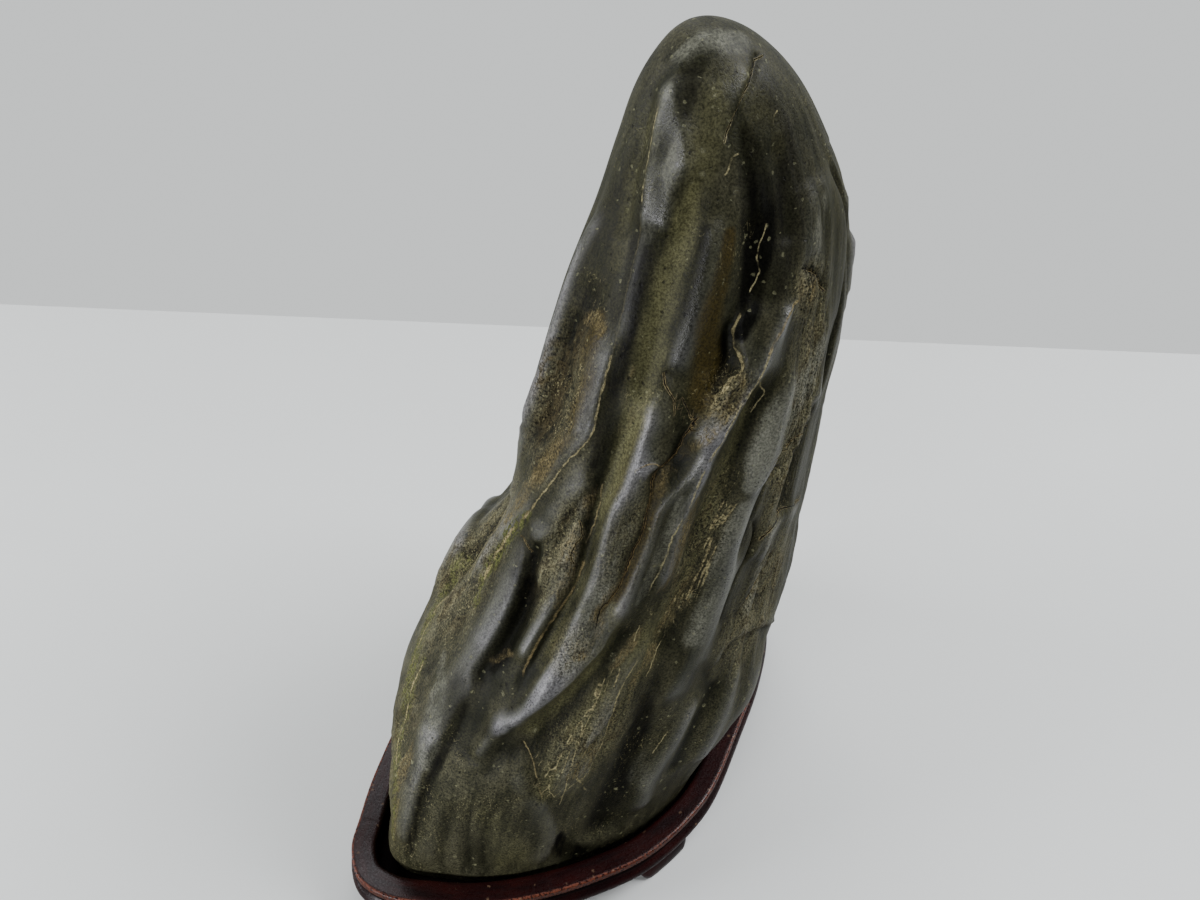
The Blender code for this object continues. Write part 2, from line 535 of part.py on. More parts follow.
def build_seat():
    """The wooden seat: its profile carried round the outline, with the feet joined on."""
    place, out = rim_place(np.arange(SEAT_SIDES) / SEAT_SIDES)
    middle = np.array(FOOT_CENTRE)
    rings = [np.column_stack([place + out * offset, np.full(SEAT_SIDES, z)])
             for offset, z in SEAT_PROFILE]
    inner = [np.column_stack([middle + (rings[0][:, :2] - middle) * share, rings[0][:, 2]])
             for share in reversed(FLOOR_RINGS)]
    under = [np.column_stack([middle + (rings[-1][:, :2] - middle) * share, rings[-1][:, 2]])
             for share in FLOOR_RINGS]
    bm = bmesh.new()
    loft(bm, inner + rings + under)
    seat = add_object("stand", mesh_from(bm, "stand"), (0.09, 0.018, 0.014), 0.3)
    first = np.argmin(np.linalg.norm(RIM - np.array(FIRST_FOOT), axis=1)) / len(RIM)
    for i in range(FOOT_COUNT):
        foot = build_foot(first + i / FOOT_COUNT)
        joined = seat.modifiers.new(f"foot {i + 1}", "BOOLEAN")
        joined.operation = "UNION"
        joined.solver = "EXACT"
        joined.object = foot
        foot.hide_render = True
        foot.display_type = "WIRE"
    return seat


def main():
    for obj in list(bpy.data.objects):
        bpy.data.objects.remove(obj)
    build_rock()
    build_seat()


main()
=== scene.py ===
import math

import bpy
import numpy as np
from mathutils import Matrix, Vector


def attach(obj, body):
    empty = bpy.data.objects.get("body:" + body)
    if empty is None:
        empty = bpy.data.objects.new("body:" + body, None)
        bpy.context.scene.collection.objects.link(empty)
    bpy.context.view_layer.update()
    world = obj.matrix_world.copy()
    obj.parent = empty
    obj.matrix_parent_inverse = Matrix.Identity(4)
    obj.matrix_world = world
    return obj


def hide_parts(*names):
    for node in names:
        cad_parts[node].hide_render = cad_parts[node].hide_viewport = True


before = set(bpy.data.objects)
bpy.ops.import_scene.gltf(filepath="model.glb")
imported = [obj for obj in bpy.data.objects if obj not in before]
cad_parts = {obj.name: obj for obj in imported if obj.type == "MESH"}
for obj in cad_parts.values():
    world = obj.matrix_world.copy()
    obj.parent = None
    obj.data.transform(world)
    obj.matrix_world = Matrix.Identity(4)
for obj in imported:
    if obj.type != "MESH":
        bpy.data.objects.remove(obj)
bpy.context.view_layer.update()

mm = 0.001
rimTop = 24.0    # the wooden rim above the table, in mm; heights on the rock count from here


# curves and noise

def ease(x):
    x = np.clip(x, 0.0, 1.0)
    return x * x * (3 - 2 * x)


def unit(vectors):
    # the same directions with a length of one
    return vectors / np.linalg.norm(vectors, axis=1)[:, None]


def lengthAlong(path):
    # how far each point of a path lies from its start
    return np.concatenate([[0], np.cumsum(np.linalg.norm(np.diff(path, axis=0), axis=1))])


def spline(points, steps, closed=False):
    # Catmull-Rom through the points, so many steps in each span
    p = np.array(points, float)
    count = len(p)
    spans = count if closed else count - 1
    if not closed:
        p = np.vstack([2 * p[0] - p[1], p, 2 * p[-1] - p[-2]])
    out = []
    for i in range(spans):
        a, b, c, d = (p[(i + k - 1) % count] if closed else p[i + k] for k in range(4))
        for t in np.arange(steps) / steps:
            out.append(0.5 * (2 * b + (c - a) * t + (2 * a - 5 * b + 4 * c - d) * t ** 2
                              + (3 * b - a - 3 * c + d) * t ** 3))
    if not closed:
        out.append(p[-2])
    return np.array(out)


def even(points, count):
    # so many evenly spaced points round a closed loop
    loop = np.vstack([points, points[:1]])
    length = lengthAlong(loop)
    at = np.arange(count) / count * length[-1]
    return np.stack([np.interp(at, length, loop[:, k]) for k in (0, 1)], axis=1)


def arc(centre, radius, start, end, count):
    angle = np.radians(np.linspace(start, end, count))
    return [(centre[0] + radius * math.cos(a), centre[1] + radius * math.sin(a)) for a in angle]


def byAzimuth(azimuth, table):
    # values from a short table of azimuths round the rock
    return np.interp(azimuth, *np.array(table).T, period=360)


def scatter(x):
    # a value from 0 to 1 for each x, in no order
    return np.modf(np.abs(np.sin(x)) * 43758.5453)[0]


def wobble(x, y, seed):
    # smooth noise from -1 to 1 with a feature for each unit, for many places at once
    place = np.stack([x, y], axis=-1)
    cell = np.floor(place)
    inside = ease(place - cell)
    total = 0.0
    for corner in np.ndindex(2, 2):
        value = scatter((cell + corner) @ np.array([127.1, 311.7]) + seed * 53.17)
        weight = np.where(corner, inside, 1 - inside).prod(axis=-1)
        total = total + value * weight
    return 2 * total - 1


def plates(x, y, seed):
    # scattered cells a unit wide: a value for each cell, the place in it, distance to its edge
    column, row = np.floor(x), np.floor(y)
    nearest, second = np.full(len(x), 9.0), np.full(len(x), 9.0)
    value, alongX = np.zeros(len(x)), np.zeros(len(x))
    for i, j in np.ndindex(3, 3):
        cx, cy = column + i - 1, row + j - 1
        spots = [scatter(cx * a + cy * b + seed * 9.1)
                 for a, b in ((127.1, 311.7), (269.5, 183.3), (419.2, 371.9))]
        awayX, awayY = cx + spots[0] - x, cy + spots[1] - y
        distance = np.hypot(awayX, awayY)
        first = distance < nearest
        second = np.where(first, nearest, np.minimum(second, distance))
        nearest = np.where(first, distance, nearest)
        value = np.where(first, spots[2], value)
        alongX = np.where(first, -awayX, alongX)
    return value, alongX, second - nearest


# making objects

def makeObject(name, points, faces, smooth=True):
    mesh = bpy.data.meshes.new(name)
    mesh.from_pydata((np.asarray(points) * mm).tolist(), [], faces)
    mesh.update()
    if smooth:
        mesh.shade_smooth()
    obj = bpy.data.objects.new(name, mesh)
    bpy.context.scene.collection.objects.link(obj)
    return obj


def keepField(obj, name, values):
    # a value or a vector for each point of the mesh, for its material
    kind, key = ("FLOAT", "value") if values.ndim == 1 else ("FLOAT_VECTOR", "vector")
    layer = obj.data.attributes.new(name, kind, "POINT")
    layer.data.foreach_set(key, values.astype(np.float32).ravel())


def loftFaces(rings, sides, first, last):
    # quads between rings of equal length, then a fan to a point at each end
    faces = []
    for i in range(rings - 1):
        for j in range(sides):
            k = (j + 1) % sides
            faces.append((i * sides + j, i * sides + k, (i + 1) * sides + k,
                          (i + 1) * sides + j))
    top = (rings - 1) * sides
    for j in range(sides):
        k = (j + 1) % sides
        faces.append((k, j, first))
        faces.append((top + j, top + k, last))
    return faces


# the stand's form, which the rock's foot follows

standForm = {
    # outer edge of the rim from above, in mm, anticlockwise from the left-hand corner
    "outline": [
        (-84.5, -62.0), (-84.8, -73.5), (-79.5, -84.5), (-67.5, -90.5), (-52.0, -92.0),
        (-34.0, -91.8), (-12.0, -87.5), (8.0, -80.5), (26.0, -71.5), (42.0, -57.5),
        (54.0, -41.5), (66.0, -15.0), (77.0, 12.0), (84.0, 40.0), (82.5, 64.0), (68.0, 84.0),
        (42.0, 92.0), (8.0, 85.0), (-28.0, 62.0), (-56.0, 28.0), (-74.0, -8.0), (-82.0, -40.0)],
    "outlinePoints": 1440,
    "sides": 620,
    "centre": (4.5, -4.0),
    "recessWall": 9.3,         # inside the outer edge
    "recessDepth": 9.0,
    "boardUnderside": 9.0,
    # wear of the lacquer (where it is lowest, painted shade), then distance outside the outer edge
    # and height above the table
    "moulding": [
        (0, [(-9.3, 14.7), (-9.2, 16.0), (-9.0, 19.0), (-8.8, 21.6)]),        # recess
        (0.2, [(-8.5, 22.7), (-8.0, 23.15), (-7.0, 23.3), (-5.0, 23.5), (-3.0, 23.7),
               (-1.6, 23.88)]),                                               # top of the rim
        (1, arc((-0.75, 23.2), 0.75, 80, 0, 5) + [(0.05, 22.0), (0.05, 20.9)]),    # lip
        (0, [(-0.5, 20.5)] + arc((0.9, 18.5), 2.4, 130, 226, 7)),             # cove
        (0.5, arc((-1.5, 13.1), 2.95, 62, -62, 13)),                          # bead
        (0, [(-1.1, 9.6), (-2.6, 9.15)])],                                    # underside
    "feet": 5,
    "firstFoot": (36.0, -64.0),    # the point of the rim over its middle
    "footLength": 27.0,
    "footSplay": 5.0,
    "footWear": 0.1,
    # from the underside inwards: distance outside the outer edge between the feet, then
    # distance and height on a foot
    "footProfile": [
        (-3.4, -1.4, 8.2), (-4.2, 0.0, 6.2), (-5.0, 0.9, 3.8), (-6.0, 0.9, 1.4),
        (-7.5, -0.2, 0.0), (-10.0, -8.0, 0.0), (-12.0, -12.0, 0.0), (-13.5, -13.4, 1.2),
        (-15.0, -13.6, 8.0)],
    # sizes of the rings that close the board over and under, from the first to the last
    "recessRings": (0.3, 0.6, 0.85, 0.97),
    "undersideRings": (0.95, 0.8, 0.5, 0.2),
}

rim = even(spline(standForm["outline"], 12, closed=True), standForm["outlinePoints"])
rim -= (rim.min(axis=0) + rim.max(axis=0)) / 2
rimAlong = np.roll(rim, -1, axis=0) - np.roll(rim, 1, axis=0)
rimOut = unit(np.stack([rimAlong[:, 1], -rimAlong[:, 0]], axis=1))
standCentre = np.array(standForm["centre"])


def buildStand():
    print("stand")
    perimeter = lengthAlong(np.vstack([rim, rim[:1]]))[-1]
    first = np.argmin(np.linalg.norm(rim - standForm["firstFoot"], axis=1)) / len(rim)
    sides = standForm["sides"]
    shares = np.arange(sides) / sides
    footness = np.zeros(sides)
    for i in range(standForm["feet"]):
        away = np.abs((shares - first - i / standForm["feet"] + 0.5) % 1 - 0.5) * perimeter
        t = np.clip((standForm["footLength"] / 2 - away) / standForm["footSplay"], 0, 1)
        footness = np.maximum(footness, np.sqrt(1 - (1 - t) ** 2))
    place, out = (np.stack([np.interp(shares * len(rim), np.arange(len(rim)), loop[:, k],
                                      period=len(rim)) for k in (0, 1)], axis=1)
                  for loop in (rim, rimOut))
    out = unit(out)
    rows, wearAndShade = [], []
    for worn, profile in standForm["moulding"]:
        for offset, z in profile:
            rows.append(np.column_stack([place + out * offset, np.full(sides, z)]))
            wearAndShade.append(worn)
    recessFloor, underside = rows[0][0, 2], standForm["boardUnderside"]
    for plainOffset, footOffset, footZ in standForm["footProfile"]:
        offset = plainOffset + (footOffset - plainOffset) * footness
        z = underside + (footZ - underside) * footness
        rows.append(np.column_stack([place + out * offset[:, None], z]))
        wearAndShade.append(standForm["footWear"])

    def shrunk(row, size, z):
        return np.column_stack([standCentre + (row[:, :2] - standCentre) * size,
                                np.full(sides, z)])

    over = [shrunk(rows[0], size, recessFloor) for size in standForm["recessRings"]]
    under = [shrunk(rows[-1], size, underside) for size in standForm["undersideRings"]]
    rows = over + rows + under
    wearAndShade = [0] * len(over) + wearAndShade + [0] * len(under)
    rings = len(rows)
    points = np.vstack(rows + [[[*standCentre, recessFloor]], [[*standCentre, underside]]])
    faces = [face[::-1] for face in loftFaces(rings, sides, rings * sides, rings * sides + 1)]
    stand = makeObject("rockStand", points, faces)
    across = lengthAlong(np.array([row[0] for row in rows]))
    grain = np.column_stack([np.tile(shares * perimeter, rings), np.repeat(across, sides),
                             np.repeat(wearAndShade, sides)])
    keepField(stand, "grain", np.vstack([grain, np.zeros((2, 3))]))
    return stand


# the rock's form

rockForm = {
    "peak": 274.6,
    "turn": 46.0,           # degrees; the long axis runs from the front left to the back right
    "power": 2.15,          # 2 gives an ellipse, more a squarer section
    "footBlend": 75.0,      # height over which the recess's outline gives way to the sections
    "footTuck": 1.2,
    "rings": 372,
    "frontHalf": 100.0,     # degrees to each side of the front with the finer mesh
    "frontSides": 192,
    "backSides": 74,
    # height, centre x and y, half length, half breadth
    "sections": [
        (-9.0, 4.5, -4.0, 92.0, 51.0),
        (0.0, 4.5, -4.0, 95.0, 53.0),
        (40.0, 7.5, -2.0, 93.0, 53.0),
        (80.0, 13.5, 1.0, 83.0, 50.0),
        (120.0, 23.0, 5.0, 69.0, 44.0),
        (160.0, 30.5, 9.0, 61.0, 40.0),
        (200.0, 33.0, 11.0, 51.5, 34.0),
        (225.0, 33.5, 11.0, 41.0, 29.0),
        (245.0, 31.0, 9.5, 30.5, 23.0),
        (258.0, 28.5, 8.0, 23.0, 18.2),
        (268.0, 26.0, 6.5, 14.0, 11.6),
        (272.6, 24.5, 5.5, 7.0, 6.2),
        (274.6, 23.5, 5.0, 0.5, 0.5)],
    # clearance to the recess wall, by azimuth
    "seatGaps": [(-180, 2.0), (-110, 3.0), (-70, 4.5), (-50, 5.5), (-40, 3.2), (-20, 1.0),
                 (0, 1.6), (30, 0.8), (60, 0.8), (90, 1.6), (130, 2.0), (180, 2.0)],
    # azimuth, height, half breadth, half height, push outwards
    "swellings": [
        (-88, 88, 22, 16, 2.6),         # left shoulder
        (56, 40, 26, 28, 8.5),          # right hip
        (-84, 136, 20, 18, -8.0),       # hollow over the shoulder
        (84, 226, 12, 24, 1.2),         # right brow
        (84, 150, 26, 36, -3.5),        # right waist
        (98, 156, 13, 15, -1.8),        # right edge
        (101, 92, 15, 18, -1.6),        # right haunch
        (72, 50, 14, 13, 2.6),          # right toe
        (-24, 88, 24, 30, 2.0),         # front belly
        (-72, 66, 20, 24, 2.4),         # left flank
        (-50, 18, 12, 13, -2.2),        # left toe
        (178, 96, 30, 38, 7.0),         # back shoulder
        (205, 168, 24, 34, -5.0),       # back hollow
        (128, 52, 22, 46, 4.0),         # back right buttress
        (165, 222, 16, 20, 3.0)],       # back brow
    # how the layers lean, degrees for each mm of height, by azimuth
    "lean": [(-180, 0.0), (-90, 0.05), (-50, 0.12), (-20, 0.17), (0, 0.3), (40, 0.3),
             (90, 0.1), (180, 0.0)],
    "leanLevel": 150,
    # thin leaning layers: lift, breadth in degrees, height
    "layers": [(0.42, 5.0, 42), (0.22, 2.6, 24), (0.08, 1.3, 12)],
    # flaky plates and chips: breadth in degrees and height, then lift
    "plate": (6.5, 20.0, 1.5),
    "smallPlate": (2.8, 8.0, 0.5),
    "chip": (1.7, 2.6, 0.16),
    "plateBend": (6.0, 18, 1.6),
    # rough, flaky places: azimuth, height, half breadth in degrees, half height, amount
    "rawPlaces": [
        (-64, 116, 14, 36, 1.0), (-50, 182, 12, 24, 0.8), (-34, 140, 4.0, 18, 1.0),
        (52, 165, 16, 42, 0.9), (47, 211, 12, 8, 1.1), (5, 190, 8, 7, 0.9),
        (-19, 148, 6, 26, 0.4), (8, 140, 8, 26, 0.8), (-6, 76, 14, 20, 0.6),
        (60, 92, 22, 26, 0.9), (-54, 46, 9, 40, 0.6), (-22, 112, 4, 8, 0.9),
        (130, 120, 40, 90, 0.6), (205, 120, 45, 90, 0.6)],
    "ripple": 0.4,
    "foldTaper": 0.13,      # share of a fold's line over which each end dies away
    "crispness": 0.16,      # of edges and creases; less is crisper
    "seatFade": 14.0,       # height over which the relief fades in
    "seatHollows": 0.15,    # share of the hollows that is left in the recess
    "evenings": 60,         # rounds of smoothing that give what is around a place
}


def sectionAt(height):
    # centre and half sizes at each height, on a monotone cubic
    table = np.array(rockForm["sections"])
    x, y = table[:, 0], table[:, 1:]
    width = np.diff(x)
    slope = np.diff(y, axis=0) / width[:, None]
    tangent = np.zeros_like(y)
    tangent[0], tangent[-1] = slope[0], slope[-1]
    for i in range(1, len(x) - 1):
        low, high = slope[i - 1], slope[i]
        same = low * high > 0
        safeLow, safeHigh = np.where(same, low, 1), np.where(same, high, 1)
        w1, w2 = 2 * width[i] + width[i - 1], width[i] + 2 * width[i - 1]
        tangent[i] = np.where(same, (w1 + w2) / (w1 / safeLow + w2 / safeHigh), 0)
    i = np.clip(np.searchsorted(x, height) - 1, 0, len(x) - 2)
    w = width[i][:, None]
    t = ((height - x[i]) / width[i])[:, None]
    return (y[i] * (1 + 2 * t) * (1 - t) ** 2 + tangent[i] * w * t * (1 - t) ** 2
            + y[i + 1] * t * t * (3 - 2 * t) + tangent[i + 1] * w * t * t * (t - 1))


def recessRadius(azimuth):
    wall = rim - rimOut * standForm["recessWall"] - standCentre
    angle = np.degrees(np.arctan2(wall[:, 0], -wall[:, 1]))
    return np.interp(azimuth, angle, np.linalg.norm(wall, axis=1), period=360)


def bodyPoint(azimuth, height):
    # azimuth 0 faces the front and grows to the right
    azimuth, height = np.asarray(azimuth, float), np.asarray(height, float)
    way = np.stack([np.sin(np.radians(azimuth)), -np.cos(np.radians(azimuth))], axis=1)
    x, y, length, breadth = sectionAt(height).T
    turned = np.radians(azimuth - 90 - rockForm["turn"])
    n = rockForm["power"]
    radius = (np.abs(np.cos(turned) / length) ** n
              + np.abs(np.sin(turned) / breadth) ** n) ** (-1 / n)
    upper = np.stack([x, y], axis=1) + way * radius[:, None]
    gap = byAzimuth(azimuth, rockForm["seatGaps"])
    tuck = rockForm["footTuck"] * ease(-height / standForm["recessDepth"])
    foot = standCentre + way * (recessRadius(azimuth) - gap - tuck)[:, None]
    share = ease(height / rockForm["footBlend"])[:, None]
    return np.column_stack([foot * (1 - share) + upper * share, height])


# lines that both a fold and a vein follow, as (azimuth, height)
crownCrack = [(69, 267.5), (53, 267.5), (40, 266), (28, 264), (18.5, 262), (11, 259.5), (5, 257),
    (1, 255), (-2.5, 252)]
longLedge = [(-34.5, 211), (-34, 203), (-34, 195), (-34, 187), (-33.8, 181), (-35, 176),
    (-37, 172), (-39.2, 168), (-41.6, 161), (-44, 154), (-45.8, 147), (-48.5, 139.5), (-51, 131),
    (-52.4, 123), (-52, 116), (-51.5, 108)]
pocketLip = [(12, 217), (8, 212), (6, 208), (7, 204.5), (7.5, 202), (9.5, 198.5), (9.5, 195.5),
    (6, 194), (2, 191), (-2, 187.5), (-4.5, 185.5), (-6.5, 182), (-9, 177)]
middleCrack = [(-8, 181.5), (-9.5, 175.8), (-12, 173), (-14.5, 171), (-15.4, 168), (-14.8, 163),
    (-15, 157), (-14.7, 151), (-15.4, 145), (-15.6, 139), (-16, 133), (-17, 128), (-18.4, 123.5),
    (-18, 117)]
middleChip = [(-14, 172.5), (-15.5, 174), (-17.5, 174.5), (-19, 174), (-21, 172.5)]
columnCrack = [(-17, 195.5), (-14, 191.5), (-12.5, 186.5)]
leftPlate = [(-27, 146), (-27, 141), (-26.6, 134), (-27.2, 128), (-28.4, 121.5), (-29.4, 115.5),
    (-30, 109), (-30, 102)]
leftNick = [(-46, 139), (-43.6, 138.4), (-41, 136)]
rightEdge = [(50, 214), (42, 212), (36, 211), (31, 209.7), (27, 208), (23.5, 205), (20.5, 202),
    (18.5, 199), (16.7, 196), (14.6, 192), (12, 190), (9, 188), (6.6, 185.5), (3, 181), (0, 177),
    (-1, 173), (-1.3, 169.5), (-2.5, 164.5), (-4, 160.5), (-5, 154), (-5, 148), (-4.3, 140),
    (-4, 132), (-3.4, 122)]
rightLedge = [(86, 121), (68, 127.5), (56, 130), (48, 130), (41, 128), (37, 120)]
haunchLedge = [(77, 68.5), (64.5, 78.5), (56, 82), (48, 86), (42, 85.5), (38, 81), (33, 77)]
haunchCrack = [(66, 112), (56, 104), (48, 99), (40, 97)]
browCrack = [(38, 219), (46, 217), (54, 214), (62, 207)]
bellyLedge = [(-5, 85.5), (-5, 73.5), (-5.5, 64.5)]
bellyStep = [(-10.5, 90), (-11.5, 76.5), (-11.5, 65.5), (-10.5, 53), (-10, 42.5)]
bellyCrack = [(-20, 69), (-17.5, 60.5)]

